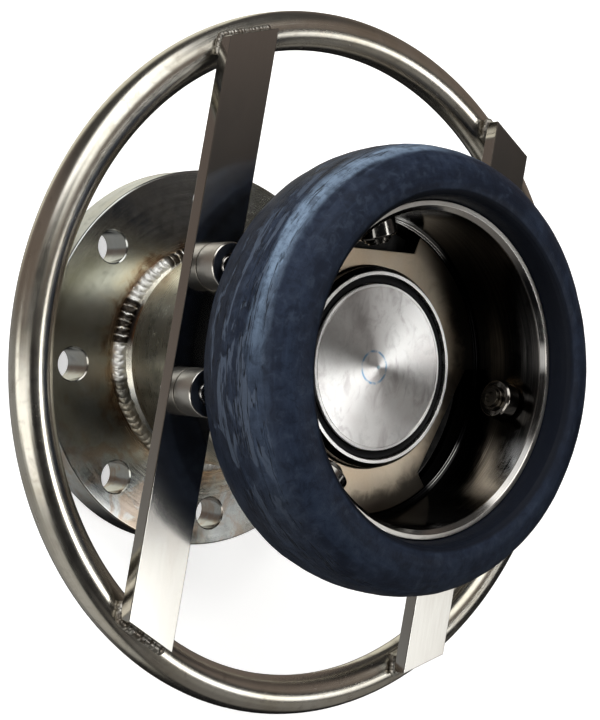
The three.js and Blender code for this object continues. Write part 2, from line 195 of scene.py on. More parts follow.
def prism(name, outline, z0, z1, bevel=0.6, segments=3):
    """Upright prism over a polygon, all its edges rounded."""
    bm = bmesh.new()
    area = sum(outline[i][0] * outline[(i + 1) % len(outline)][1] - outline[(i + 1) % len(outline)][0] * outline[i][1] for i in range(len(outline)))
    if area < 0:
        outline = outline[::-1]
    lo = [bm.verts.new((x * MM, y * MM, z0 * MM)) for x, y in outline]
    hi = [bm.verts.new((x * MM, y * MM, z1 * MM)) for x, y in outline]
    bm.faces.new(lo[::-1])
    bm.faces.new(hi)
    for i in range(len(lo)):
        j = (i + 1) % len(lo)
        bm.faces.new((lo[i], lo[j], hi[j], hi[i]))
    if bevel:
        bmesh.ops.bevel(bm, geom=bm.edges[:], offset=bevel * MM, segments=segments, profile=0.5, affect="EDGES", clamp_overlap=True)
    me = bpy.data.meshes.new(name)
    bm.to_mesh(me)
    bm.free()
    return link(bpy.data.objects.new(name, me))


def flared(name, lo, hi, z0, z1):
    """Prism whose outline changes from lo to hi."""
    n = len(lo)
    v = [(x, y, z0) for x, y in lo] + [(x, y, z1) for x, y in hi]
    f = [tuple(range(n))[::-1], tuple(range(n, 2 * n))] + [(i, (i + 1) % n, n + (i + 1) % n, n + i) for i in range(n)]
    ob = mesh_object(name, v, f)
    fix_winding(ob)
    return ob


def tube(name, path, radius, sides=16, closed=False, frame_z=None, radius_at=None):
    """Round rod along a list of points, mm, with round ends."""
    path = np.asarray(path, float)
    n = len(path)
    tan = np.gradient(path, axis=0)
    if closed:
        tan = np.roll(path, -1, 0) - np.roll(path, 1, 0)
    tan /= np.linalg.norm(tan, axis=1)[:, None]
    ref = np.array([0, 0, 1.0]) if frame_z is None else np.asarray(frame_z, float)
    a = np.cross(ref, tan)
    a /= np.maximum(1e-9, np.linalg.norm(a, axis=1))[:, None]
    b = np.cross(tan, a)
    rings = []
    ph = np.arange(sides) * 2 * math.pi / sides
    rr = np.full(n, float(radius)) if radius_at is None else np.asarray(radius_at, float)
    stations = [(path[i], a[i], b[i], rr[i]) for i in range(n)]
    if not closed:
        head, tail = [], []
        for k in (3, 2, 1):
            th = k * math.pi / 8
            head.append((path[0] - tan[0] * rr[0] * math.sin(th), a[0], b[0], rr[0] * math.cos(th)))
            tail.append((path[-1] + tan[-1] * rr[-1] * math.sin(th), a[-1], b[-1], rr[-1] * math.cos(th)))
        stations = head + stations + tail[::-1]
    verts = []
    for p, u, w, r in stations:
        verts += [p + r * (math.cos(t) * u + math.sin(t) * w) for t in ph]
    m = len(stations)
    faces = []
    for i in range(m if closed else m - 1):
        j = (i + 1) % m
        for k in range(sides):
            l = (k + 1) % sides
            faces.append((i * sides + k, i * sides + l, j * sides + l, j * sides + k))
    if not closed:
        p0, p1 = path[0] - tan[0] * rr[0], path[-1] + tan[-1] * rr[-1]
        verts += [p0, p1]
        for k in range(sides):
            l = (k + 1) % sides
            faces.append((m * sides, k, l)[::-1])
            faces.append((m * sides + 1, (m - 1) * sides + k, (m - 1) * sides + l))
    ob = mesh_object(name, verts, faces)
    fix_winding(ob)
    return ob


def fix_winding(ob):
    bm = bmesh.new()
    bm.from_mesh(ob.data)
    bmesh.ops.recalc_face_normals(bm, faces=bm.faces)
    bm.to_mesh(ob.data)
    bm.free()
    ob.data.polygons.foreach_set("use_smooth", [True] * len(ob.data.polygons))


def evaluate(ob):
    """Applies the object's modifiers to its mesh."""
    bpy.context.view_layer.update()
    dg = bpy.context.evaluated_depsgraph_get()
    me = bpy.data.meshes.new_from_object(ob.evaluated_get(dg), preserve_all_data_layers=True, depsgraph=dg)
    old = ob.data
    ob.modifiers.clear()
    ob.data = me
    bpy.data.meshes.remove(old)
    me.name = ob.name
    return ob


def boolean(ob, tools, op="DIFFERENCE"):
    """ob minus (or joined with, or common to) each tool, and the tools are gone."""
    for t in tools:
        m = ob.modifiers.new("join", "BOOLEAN")
        m.operation, m.solver, m.object = op, "MANIFOLD", t
    evaluate(ob)
    for t in tools:
        me = t.data
        bpy.data.objects.remove(t)
        bpy.data.meshes.remove(me)
    return ob


def soften(ob, bevel=0.0, angle=32, segments=2):
    """Rounds what edges are still sharp, then shades flats flat and rounds round."""
    if bevel:
        m = ob.modifiers.new("edge", "BEVEL")
        m.width, m.segments, m.limit_method, m.angle_limit = bevel * MM, segments, "ANGLE", rad(angle)
        m.use_clamp_overlap = True
        m.harden_normals = False
        evaluate(ob)
    me = ob.data
    if "custom_normal" in me.attributes:
        me.attributes.remove(me.attributes["custom_normal"])
    me.polygons.foreach_set("use_smooth", [True] * len(me.polygons))
    nf, nl = len(me.polygons), len(me.loops)
    face_n, area, total, corner = np.empty(nf * 3), np.empty(nf), np.empty(nf, np.int32), np.empty(nl, np.int32)
    me.polygons.foreach_get("normal", face_n)
    me.polygons.foreach_get("area", area)
    me.polygons.foreach_get("loop_total", total)
    me.loops.foreach_get("vertex_index", corner)
    face_n, face_of = face_n.reshape(-1, 3), np.repeat(np.arange(nf), total)
    order = np.argsort(corner, kind="stable")
    _, first, count = np.unique(corner[order], return_index=True, return_counts=True)
    out, least = np.empty((nl, 3)), math.cos(rad(angle))
    for k in np.unique(count):  # each corner takes the faces round it that turn little, large ones most
        idx = order[first[count == k][:, None] + np.arange(k)]
        n, w = face_n[face_of[idx]], area[face_of[idx]]
        near = (np.einsum("mad,mbd->mab", n, n) > least) * (w[:, None, :] + 1e-14)
        v = np.einsum("mab,mbd->mad", near, n)
        out[idx] = v / np.maximum(1e-20, np.linalg.norm(v, axis=2))[:, :, None]
    me.normals_split_custom_set(out.tolist())
    return ob


def move_verts(ob, fn):
    """fn takes the vertices as an array in mm and gives them back moved."""
    me = ob.data
    co = np.empty(len(me.vertices) * 3)
    me.vertices.foreach_get("co", co)
    co = fn(co.reshape(-1, 3) / MM) * MM
    me.vertices.foreach_set("co", co.ravel())
    me.update()


def value_noise(p, cell, seed):
    """Smooth noise from -1 to 1 at points p, mm, one value to a cell."""
    q = np.asarray(p, float) / cell
    i = np.floor(q).astype(np.int64)
    f = q - i
    f = f * f * (3 - 2 * f)

    def h(a, b, c):
        n = (a * 73856093) ^ (b * 19349663) ^ (c * 83492791) ^ (seed * 2654435761)
        n = (n ^ (n >> 13)) * 1274126177 & 0x7FFFFFFF
        return (n ^ (n >> 16)) % 65536 / 32767.5 - 1

    out = 0
    for dx in (0, 1):
        for dy in (0, 1):
            for dz in (0, 1):
                w = (f[:, 0] if dx else 1 - f[:, 0]) * (f[:, 1] if dy else 1 - f[:, 1]) * (f[:, 2] if dz else 1 - f[:, 2])
                out = out + w * h(i[:, 0] + dx, i[:, 1] + dy, i[:, 2] + dz)
    return out


# ------------------------------------------------------------------ materials
class Mat:
    """A procedural material. Coordinates are the piece's own, in mm."""

    def __init__(self, name, base=(0.5, 0.5, 0.5), metal=1.0, rough=0.4, aniso=0.0, turned=False, spec=0.5, ior=1.5, coat=0.0, coat_rough=0.1, sheen=0.0):
        self.m = bpy.data.materials.new(name)
        self.m.use_nodes = True
        self.t = self.m.node_tree
        self.t.nodes.clear()
        self.out = self.node("ShaderNodeOutputMaterial")
        self.b = self.node("ShaderNodeBsdfPrincipled")
        self.t.links.new(self.b.outputs[0], self.out.inputs[0])
        i = self.b.inputs
        i["Base Color"].default_value = (*base, 1)
        i["Metallic"].default_value = metal
        i["Roughness"].default_value = rough
        i["IOR"].default_value = ior
        i["Specular IOR Level"].default_value = spec
        i["Anisotropic"].default_value = aniso
        i["Coat Weight"].default_value = coat
        i["Coat Roughness"].default_value = coat_rough
        i["Sheen Weight"].default_value = sheen
        if turned:
            i["Anisotropic Rotation"].default_value = 0.25
            t = self.node("ShaderNodeTangent")
            t.direction_type, t.axis = "RADIAL", "Z"
            self.t.links.new(t.outputs[0], i["Tangent"])
        tc = self.node("ShaderNodeTexCoord")
        self.p = self.vmath("SCALE", tc.outputs["Object"], scale=1000.0)
        s = self.node("ShaderNodeSeparateXYZ")
        self.t.links.new(self.p, s.inputs[0])
        self.x, self.y, self.z = s.outputs
        self._r = self._a = None

    def node(self, kind, **kw):
        n = self.t.nodes.new(kind)
        for k, v in kw.items():
            setattr(n, k, v)
        return n

    def put(self, socket, v):
        if hasattr(v, "node") and hasattr(v, "links"):
            self.t.links.new(v, socket)
        elif isinstance(v, (tuple, list)) and socket.type == "RGBA" and len(v) == 3:
            socket.default_value = (*v, 1)
        else:
            socket.default_value = v

    def math(self, op, a, b=None, c=None, clamp=False):
        n = self.node("ShaderNodeMath", operation=op, use_clamp=clamp)
        for s, v in zip(n.inputs, (a, b, c)):
            if v is not None:
                self.put(s, v)
        return n.outputs[0]

    def vmath(self, op, a, b=None, scale=None):
        n = self.node("ShaderNodeVectorMath", operation=op)
        self.put(n.inputs[0], a)
        if b is not None:
            self.put(n.inputs[1], b)
        if scale is not None:
            n.inputs["Scale"].default_value = scale
        return n.outputs[1] if op in ("LENGTH", "DOT_PRODUCT", "DISTANCE") else n.outputs[0]

    def vec(self, x, y, z):
        n = self.node("ShaderNodeCombineXYZ")
        for s, v in zip(n.inputs, (x, y, z)):
            self.put(s, v)
        return n.outputs[0]

    @property
    def r(self):
        if self._r is None:
            self._r = self.vmath("LENGTH", self.vec(self.x, self.y, 0.0))
        return self._r

    @property
    def a(self):
        if self._a is None:
            self._a = self.math("ARCTAN2", self.y, self.x)
        return self._a

    def stretch(self, sx, sy, sz, src=None):
        return self.vmath("MULTIPLY", src or self.p, (sx, sy, sz))

    def noise(self, vec, scale=1.0, detail=3.0, rough=0.55, dist=0.0):
        n = self.node("ShaderNodeTexNoise")
        self.put(n.inputs["Vector"], vec)
        n.inputs["Scale"].default_value = scale
        n.inputs["Detail"].default_value = detail
        n.inputs["Roughness"].default_value = rough
        n.inputs["Distortion"].default_value = dist
        return n.outputs[0]

    def around(self, along, across_r, across_z, detail=3.0, rough=0.6, dist=0.0):
        """Noise drawn out round the Z axis: cells to a radian, to a mm of radius, to a mm of height."""
        u, v = self.math("DIVIDE", self.x, self.r), self.math("DIVIDE", self.y, self.r)
        n = self.node("ShaderNodeTexNoise", noise_dimensions="4D")
        self.put(n.inputs["Vector"], self.vec(self.mul(u, along), self.mul(v, along), self.mul(self.r, across_r)))
        self.put(n.inputs["W"], self.mul(self.z, across_z))
        n.inputs["Scale"].default_value = 1.0
        n.inputs["Detail"].default_value = detail
        n.inputs["Roughness"].default_value = rough
        n.inputs["Distortion"].default_value = dist
        return n.outputs[0]

    def facing(self, angle, lo, hi):
        """1 on the side that looks to this angle round Z, in degrees, 0 away from it; lo and hi are cosines."""
        u = self.math("DIVIDE", self.add(self.mul(self.x, math.cos(rad(angle))), self.mul(self.y, math.sin(rad(angle)))), self.r)
        return self.ramp(u, lo, hi)

    def ramp(self, f, lo, hi, a=0.0, b=1.0, smooth=True):
        n = self.node("ShaderNodeMapRange", interpolation_type="SMOOTHSTEP" if smooth else "LINEAR")
        self.put(n.inputs[0], f)
        for k, v in zip((1, 2, 3, 4), (lo, hi, a, b)):
            self.put(n.inputs[k], v)
        return n.outputs[0]

    def near(self, point, radius, soft):
        """1 at the point, 0 past radius + soft."""
        d = self.vmath("DISTANCE", self.p, point)
        return self.ramp(d, radius, radius + soft, 1.0, 0.0)

    def mix(self, f, a, b, kind="MIX"):
        n = self.node("ShaderNodeMix", data_type="RGBA", blend_type=kind)
        self.put(n.inputs[0], f)
        self.put(n.inputs[6], a)
        self.put(n.inputs[7], b)
        return n.outputs[2]

    def mul(self, a, b):
        return self.math("MULTIPLY", a, b)

    def add(self, a, b):
        return self.math("ADD", a, b)

    def color(self, v):
        self.put(self.b.inputs["Base Color"], v)
        return self

    def rough(self, v):
        self.put(self.b.inputs["Roughness"], v)
        return self

    def bump(self, *layers):
        """Layers are (height 0 to 1, depth in mm)."""
        last = None
        for h, depth in layers:
            n = self.node("ShaderNodeBump")
            n.inputs["Strength"].default_value = 1.0
            n.inputs["Distance"].default_value = depth * MM
            self.put(n.inputs["Height"], h)
            if last is not None:
                self.t.links.new(last, n.inputs["Normal"])
            last = n.outputs[0]
        self.t.links.new(last, self.b.inputs["Normal"])
        return self


def ring_lines(m, pitch=0.35):
    """Fine tool marks of a lathe."""
    return m.around(0.35, 1 / pitch, 1 / pitch, 2.0)


def stainless(name, base, rough, aniso=0.5, warm=(0.55, 0.42, 0.26), warmth=0.25, lines=0.006, dirt=0.35, turned=True, smudge=0.06, pitch=0.35):
    m = Mat(name, base=base, rough=rough, aniso=aniso, turned=turned)
    big = m.noise(m.p, 0.022, 4.0, 0.6, 0.3)
    mid = m.noise(m.p, 0.11, 5.0, 0.62, 0.6)
    fine = m.noise(m.p, 0.9, 3.0, 0.6)
    c = m.mix(m.ramp(big, 0.42, 0.68, 0.0, warmth), base, warm)
    dark = tuple(x * (1 - dirt) for x in base)
    c = m.mix(m.ramp(mid, 0.5, 0.78, 0.0, 0.75), c, dark)
    c = m.mix(m.ramp(fine, 0.3, 0.7, 0.0, 0.16), c, tuple(min(1, x * 1.25) for x in base))
    m.color(c)
    t = ring_lines(m, pitch) if turned else fine
    r = m.add(m.ramp(mid, 0.3, 0.75, rough - smudge, rough + smudge), m.ramp(t, 0.3, 0.7, -0.04, 0.04))
    m.rough(r)
    m.c, m.big, m.mid, m.fine, m.tool, m.rr = c, big, mid, fine, t, r
    m.bump((t, lines), (fine, lines * 0.6))
    return m


M = {}

# Flange: turned face, olive-grey, with the weld's brown and gold heat tint round the neck.
m = stainless("FlangeSteel", (0.46, 0.48, 0.48), 0.19, aniso=0.3, warm=(0.38, 0.35, 0.26), warmth=0.45, dirt=0.3, pitch=0.6, lines=0.003, smudge=0.04)
edge = m.add(m.r, m.ramp(m.mid, 0.2, 0.8, -5.0, 5.0))
tint1 = m.ramp(edge, 89.0, 73.0)
tint2 = m.ramp(edge, 77.0, 69.0)
c = m.mix(m.mul(tint1, 0.4), m.c, (0.42, 0.35, 0.22))
soot = m.mul(tint2, m.ramp(m.around(2.6, 0.08, 0.0, 3.0), 0.42, 0.58))
c = m.mix(m.mul(tint2, 0.5), c, (0.40, 0.235, 0.10))
c = m.mix(m.mul(soot, 0.8), c, (0.10, 0.05, 0.03))
rust = m.mul(m.facing(-20, 0.35, 0.9), m.ramp(m.noise(m.p, 0.07, 4.0, 0.6, 0.6), 0.46, 0.62))
c = m.mix(m.mul(rust, 0.5), c, (0.36, 0.22, 0.12))
stain = m.near((26.0, 98.0, 24.0), 1.0, 7.0)
c = m.mix(m.mul(stain, 0.6), c, (0.17, 0.09, 0.05))
m.color(c)
m.rough(m.add(m.rr, m.mul(tint2, 0.1)))
M["flange"] = m.m

m = stainless("NeckSteel", (0.60, 0.62, 0.63), 0.24, aniso=0.2, warm=(0.46, 0.42, 0.32), warmth=0.4, dirt=0.35, pitch=0.8, lines=0.002)
# painted highlight: near-white strips on the neck collar, facing -128° and -75°
painted_highlight_neck = m.math("MAXIMUM", m.facing(-128, 0.93, 0.965), m.facing(-75, 0.968, 0.990))
c = m.mix(m.mul(painted_highlight_neck, 0.9), m.c, (0.96, 0.93, 0.84))
# painted shade: a dark band facing -99°, near black at the foot of the neck, brown heat tint higher up
gap_shade_and_tint = m.mul(m.facing(-99, 0.972, 0.99), m.ramp(m.mid, 0.3, 0.5, 0.6, 1.0))
c = m.mix(m.mul(gap_shade_and_tint, 0.94), c, m.mix(m.ramp(m.z, 30.5, 34.0), (0.03, 0.02, 0.015), (0.40, 0.20, 0.08)))
smoke = m.ramp(m.noise(m.p, 0.05, 3.0, 0.6, 0.8), 0.56, 0.7, 0.0, 0.5)
c = m.mix(smoke, c, (0.13, 0.12, 0.10))
m.color(c)
M["neck"] = m.m

# Weld beads: bright silver ripples with soot in the hollows; on the flange bead, painted highlights and painted shade
# by angle.
m = Mat("WeldBead", base=(0.8, 0.79, 0.76), rough=0.3)
n1 = m.noise(m.p, 0.16, 4.0, 0.6, 0.5)
n2 = m.noise(m.p, 0.9, 4.0, 0.65)
c = m.mix(m.ramp(n1, 0.46, 0.62), (0.88, 0.87, 0.84), (0.58, 0.52, 0.42))
c = m.mix(m.ramp(n2, 0.58, 0.75, 0.0, 0.6), c, (0.20, 0.15, 0.11))
on_neck = m.ramp(m.r, 74.0, 78.0, 1.0, 0.0)
# painted highlight: near-white patches on the flange bead facing -124° and -76°, a little rougher there
painted_highlight_bead = m.mul(on_neck, m.math("MAXIMUM", m.facing(-124, 0.952, 0.972), m.facing(-76, 0.983, 0.988)))
c = m.mix(m.mul(painted_highlight_bead, 0.95), c, (0.98, 0.98, 0.96))
arcs = m.ramp(m.math("SINE", m.add(m.mul(m.a, 92.0), m.mul(n1, 5.0))), 0.72, 0.95)
# painted shade: a near-black gap with crescent ripples on the flange bead, facing -98° and -153°
painted_gap_shade = m.mul(on_neck, m.math("MAXIMUM", m.facing(-98, 0.974, 0.982), m.facing(-153, 0.958, 0.974)))
c = m.mix(m.mul(painted_gap_shade, m.ramp(arcs, 0.0, 1.0, 0.96, 0.1)), c, (0.025, 0.018, 0.013))
# darker grey band on the flange bead facing -61°
darker_band_bead = m.mul(on_neck, m.facing(-61, 0.988, 0.994))
c = m.mix(m.mul(darker_band_bead, 0.85), c, (0.10, 0.095, 0.075))
tan = m.mul(on_neck, m.facing(-32, 0.90, 0.935))
c = m.mix(m.mul(tan, 0.9), c, m.mix(m.ramp(n1, 0.4, 0.6), (0.40, 0.37, 0.30), (0.24, 0.21, 0.16)))
c = m.mix(m.mul(m.math("SUBTRACT", 1.0, on_neck), 0.85), c, m.mix(m.ramp(n1, 0.4, 0.6), (0.38, 0.36, 0.32), (0.15, 0.13, 0.11)))
m.color(c).rough(m.add(m.ramp(n2, 0.3, 0.7, 0.24, 0.48), m.add(m.mul(painted_highlight_bead, 0.08), m.mul(tan, 0.14))))
m.bump((m.noise(m.p, 1.2, 4.0, 0.6), 0.10), (n2, 0.12))
M["weld"] = m.m

m = stainless("HousingSteel", (0.55, 0.53, 0.47), 0.3, aniso=0.0, warm=(0.46, 0.42, 0.28), warmth=0.4, dirt=0.12, pitch=0.7, lines=0.0012, smudge=0.03)
blotch = m.ramp(m.noise(m.p, 0.07, 3.0, 0.6, 0.4), 0.5, 0.68, 0.0, 0.6)
c = m.mix(m.mul(blotch, m.facing(-85, 0.5, 0.95)), m.c, (0.26, 0.26, 0.22))
# painted highlight: a cream patch on the housing facing -137°
m.color(m.mix(m.mul(m.facing(-137, 0.90, 0.98), 0.85), c, (0.95, 0.92, 0.76)))
M["housing"] = m.m

# Front plate and barrel: matte, tan.
m = stainless("PlateSteel", (0.58, 0.49, 0.38), 0.34, aniso=0.0, warm=(0.58, 0.42, 0.27), warmth=0.5, dirt=0.10, turned=False, lines=0.0008, smudge=0.02)
# painted shade: near black on every face below the top face outside r 60, the notch pockets and the outer side within
# the bell
painted_notch_shade = m.mul(m.ramp(m.z, 171.1, 170.7), m.mul(m.ramp(m.r, 60.0, 61.0), m.ramp(m.z, 158.0, 159.0)))
front = m.ramp(m.z, 160.0, 165.0)
uneven = m.add(m.r, m.ramp(m.mid, 0.2, 0.8, -3.0, 3.0))
shade = m.mul(m.facing(92, 0.10, 0.98), m.ramp(uneven, 55.0, 74.0, 0.22, 1.0))
c = m.mix(m.mul(shade, m.mul(front, 0.97)), m.c, (0.015, 0.014, 0.013))
# painted shade: darker towards the outer edge on the side facing 30°, near the bell wall
painted_rim_shade = m.mul(m.facing(30, 0.75, 0.94), m.ramp(uneven, 64.5, 73.5))
c = m.mix(m.mul(painted_rim_shade, m.mul(front, 0.8)), c, (0.05, 0.045, 0.04))
m.color(m.mix(m.mul(painted_notch_shade, 0.97), c, (0.012, 0.012, 0.013)))
M["plate"] = m.m

m = stainless("BellSteel", (0.60, 0.585, 0.56), 0.15, aniso=0.3, warm=(0.5, 0.4, 0.27), warmth=0.15, dirt=0.25, pitch=0.5, smudge=0.05)
inside = m.mul(m.ramp(m.r, 83.6, 83.1), m.mul(m.ramp(m.z, 155.0, 156.0), m.ramp(m.z, 219.4, 219.0)))
streak = m.ramp(m.noise(m.vec(m.mul(m.a, 0.6), m.mul(m.z, 0.9), m.mul(m.r, 0.05)), 1.0, 3.0, 0.6), 0.35, 0.7)
# painted shade: the bore inside the bell painted nearly black, in streaks
painted_bore_shading = m.mix(streak, (0.022, 0.022, 0.023), (0.060, 0.058, 0.056))
ledge = m.mul(m.mul(m.ramp(m.r, 80.3, 80.5), m.ramp(m.r, 82.3, 82.1)), m.mul(m.ramp(m.z, 171.2, 171.35), m.ramp(m.z, 171.7, 171.5)))
# painted shadow: a blacker band round the bore at the height of the plate's face
painted_step_shadow = m.mul(m.ramp(m.z, 174.5, 172.5), m.ramp(m.z, 168.0, 170.0))
painted_bore_shading = m.mix(m.mul(painted_step_shadow, 0.85), painted_bore_shading, (0.008, 0.008, 0.009))
# painted highlight: the ledge ring bright only on arcs facing 164° and, fainter, 57°
painted_ledge_highlight = m.math("MAXIMUM", m.facing(164, 0.955, 0.985), m.mul(m.facing(57, 0.975, 0.993), 0.35))
# the painted bore shade is lighter here, on the side facing 58° and towards the mouth
lighter_bore_patch = m.mul(m.facing(58, 0.955, 0.996), m.ramp(m.add(m.z, m.ramp(streak, 0.0, 1.0, -6.0, 6.0)), 182.0, 203.0))
painted_bore_shading = m.mix(m.mul(lighter_bore_patch, 0.9), painted_bore_shading, (0.40, 0.405, 0.42))
# painted reflection: a warm bright patch on the bore wall behind the right roller, for the roller to mirror
painted_reflection_patch = m.near((-5.0, 82.2, 201.0), 2.0, 6.0)
painted_bore_shading = m.mix(m.mul(painted_reflection_patch, 0.9), painted_bore_shading, (0.80, 0.58, 0.36))
m.color(m.mix(m.mul(ledge, painted_ledge_highlight), m.mix(inside, m.c, painted_bore_shading), (0.95, 0.94, 0.92)))
# painted shade: the mouth chamfer darker on the side facing 100°
painted_mouth_shade = m.mul(m.mul(m.ramp(m.z, 219.0, 219.5), m.ramp(m.z, 222.1, 221.8)), m.ramp(m.r, 85.0, 84.7))
m.color(m.mix(m.mul(painted_mouth_shade, m.mul(m.facing(100, 0.3, 0.9), 0.8)), m.mix(m.mul(ledge, painted_ledge_highlight), m.mix(inside, m.c, painted_bore_shading), (0.95, 0.94, 0.92)), (0.14, 0.14, 0.145)))
rim = m.mul(m.ramp(m.z, 221.9, 222.1), m.ramp(m.r, 84.4, 84.8))
lug = m.mul(m.ramp(m.r, 92.3, 92.8), m.ramp(m.z, 167.7, 167.2))
m.rough(m.add(m.add(m.rr, m.mul(rim, 0.22)), m.mul(lug, 0.24)))
M["bell"] = m.m

m = stainless("LipSteel", (0.80, 0.79, 0.77), 0.24, aniso=0.5, warmth=0.05, dirt=0.12, pitch=0.3)
# painted shadow: the outer side of the seat ring below the land, near black
outer = m.mul(m.ramp(m.z, 179.35, 179.1), m.mul(m.ramp(m.r, 50.8, 51.0), m.ramp(m.z, 172.0, 172.4)))
land = m.mul(m.ramp(m.z, 179.3, 179.5), m.ramp(m.r, 49.3, 49.5))
c = m.mix(m.mul(land, 0.9), m.c, (0.96, 0.955, 0.945))
m.color(m.mix(m.mul(outer, 0.96), c, (0.016, 0.015, 0.016)))
m.rough(m.add(m.rr, m.mul(land, 0.14)))
M["seat"] = m.m

# Poppet: fine facing cuts, smudged, a faint blue scribed ring round the centre and a small dimple.
m = stainless("PoppetSteel", (0.88, 0.87, 0.86), 0.28, aniso=0.88, warm=(0.55, 0.47, 0.46), warmth=0.35, dirt=0.3, pitch=0.22, smudge=0.025, lines=0.0012)
smear = m.ramp(m.noise(m.stretch(0.05, 0.09, 0.05), 1.0, 4.0, 0.6, 1.2), 0.5, 0.72, 0.0, 0.45)
c = m.mix(smear, m.c, (0.40, 0.35, 0.36))
ringd = m.math("ABSOLUTE", m.math("SUBTRACT", m.vmath("DISTANCE", m.p, (0.6, -3.2, 179.05)), 8.6))
# painted shade: a darker wedge on the poppet face, facing 236°
painted_dark_wedge = m.mul(m.facing(236, 0.80, 0.98), m.ramp(m.r, 5.0, 14.0))
c = m.mix(m.mul(painted_dark_wedge, m.ramp(m.mid, 0.3, 0.7, 0.25, 0.5)), c, (0.36, 0.345, 0.34))
blue = m.mul(m.ramp(ringd, 0.25, 0.9, 1.0, 0.0), m.ramp(m.noise(m.p, 0.25, 2.0), 0.35, 0.6, 0.1, 0.8))
c = m.mix(blue, c, (0.12, 0.36, 0.62))
dot = m.ramp(m.r, 0.5, 1.6, 0.7, 0.0)
c = m.mix(dot, c, (0.16, 0.42, 0.55))
edge = m.mul(m.ramp(m.r, 43.25, 43.4), m.ramp(m.z, 177.5, 178.0))
c = m.mix(m.mul(edge, 0.95), c, (0.97, 0.965, 0.96))
m.color(c)
m.rough(m.add(m.add(m.ramp(m.mid, 0.3, 0.75, 0.28, 0.32), m.ramp(m.tool, 0.3, 0.7, -0.006, 0.006)), m.mul(edge, 0.2)))
m.bump((m.fine, 0.0008))
M["poppet"] = m.m

m = stainless("RollerSteel", (0.27, 0.26, 0.25), 0.13, aniso=0.0, warmth=0.12, dirt=0.15, turned=False, lines=0.003, smudge=0.04)
M["roller"] = m.m

m = stainless("BoltSteel", (0.50, 0.49, 0.48), 0.26, aniso=0.0, warmth=0.15, dirt=0.3, turned=False, lines=0.01)
M["bolt"] = m.m

m = stainless("PinSteel", (0.055, 0.053, 0.05), 0.2, aniso=0.0, warmth=0.1, dirt=0.2, turned=False, lines=0.003)
M["pin"] = m.m

m = stainless("SpringWire", (0.55, 0.54, 0.53), 0.3, aniso=0.0, warmth=0.2, dirt=0.3, turned=False, lines=0.01)
M["spring"] = m.m

# Handwheel tube: rolled pipe, belt-polished round its length.
m = Mat("WheelTube", base=(0.52, 0.48, 0.42), rough=0.3, aniso=0.4, turned=True)
m.b.inputs["Anisotropic Rotation"].default_value = 0.0
line = m.around(3.0, 1.6, 1.6)
big = m.noise(m.p, 0.018, 4.0, 0.6, 0.4)
mid = m.noise(m.p, 0.12, 4.0, 0.6, 0.5)
c = m.mix(m.ramp(big, 0.4, 0.7, 0.0, 0.6), (0.61, 0.585, 0.525), (0.48, 0.43, 0.33))
c = m.mix(m.ramp(mid, 0.5, 0.75, 0.0, 0.5), c, (0.34, 0.30, 0.25))
c = m.mix(m.ramp(line, 0.35, 0.7, 0.0, 0.25), c, (0.75, 0.72, 0.67))
m.color(c).rough(m.add(m.ramp(mid, 0.3, 0.7, 0.20, 0.26), m.ramp(line, 0.3, 0.7, -0.02, 0.02)))
m.bump((line, 0.002), (mid, 0.005))
M["wheel"] = m.m

# Flat bars: cold-drawn, grain along the bar.
m = Mat("BarSteel", base=(0.44, 0.40, 0.36), rough=0.2, aniso=0.0)
grain = m.noise(m.stretch(0.03, 1.3, 1.3), 1.0, 3.0, 0.6)
big = m.noise(m.stretch(0.012, 0.04, 0.04), 1.0, 4.0, 0.6, 0.3)
speck = m.noise(m.p, 0.8, 3.0, 0.6)
c = m.mix(m.ramp(big, 0.4, 0.7, 0.0, 0.6), (0.50, 0.49, 0.465), (0.45, 0.42, 0.385))
c = m.mix(m.ramp(grain, 0.4, 0.75, 0.0, 0.12), c, (0.36, 0.33, 0.29))
c = m.mix(m.ramp(speck, 0.66, 0.78, 0.0, 0.4), c, (0.26, 0.22, 0.18))
m.color(c).rough(m.add(m.ramp(big, 0.3, 0.7, 0.09, 0.14), m.ramp(grain, 0.3, 0.7, -0.01, 0.01)))
m.bump((grain, 0.002), (speck, 0.004))
M["bar"] = m.m

# Bumper rubber: blue-black, rubbed chalky on the tread, mould marks running round.
m = Mat("BumperRubber", base=(0.012, 0.018, 0.034), metal=0.0, rough=0.6, spec=0.14)
cloud = m.noise(m.p, 0.028, 5.0, 0.62, 0.8)
bands = m.around(1.6, 0.11, 0.11, 3.0, 0.6, 0.3)
fine = m.around(5.0, 0.5, 0.5, 4.0, 0.65, 0.2)
pore = m.noise(m.p, 1.4, 4.0, 0.65)
blot = m.around(4.5, 0.13, 0.13, 4.0, 0.6, 0.8)
tread = m.ramp(m.r, 112.0, 115.5)
c = m.mix(m.ramp(cloud, 0.38, 0.66), (0.0055, 0.0085, 0.017), (0.0115, 0.0175, 0.033))
c = m.mix(m.mul(m.ramp(bands, 0.46, 0.66), 0.5), c, (0.017, 0.026, 0.047))
c = m.mix(m.ramp(fine, 0.52, 0.74, 0.0, 0.22), c, (0.030, 0.045, 0.078))
mott = m.noise(m.p, 0.16, 6.0, 0.68, 0.4)
c = m.mix(m.ramp(mott, 0.5, 0.68, 0.0, 0.5), c, (0.026, 0.036, 0.056))
c = m.mix(m.ramp(mott, 0.5, 0.36, 0.0, 0.6), c, (0.0045, 0.007, 0.014))
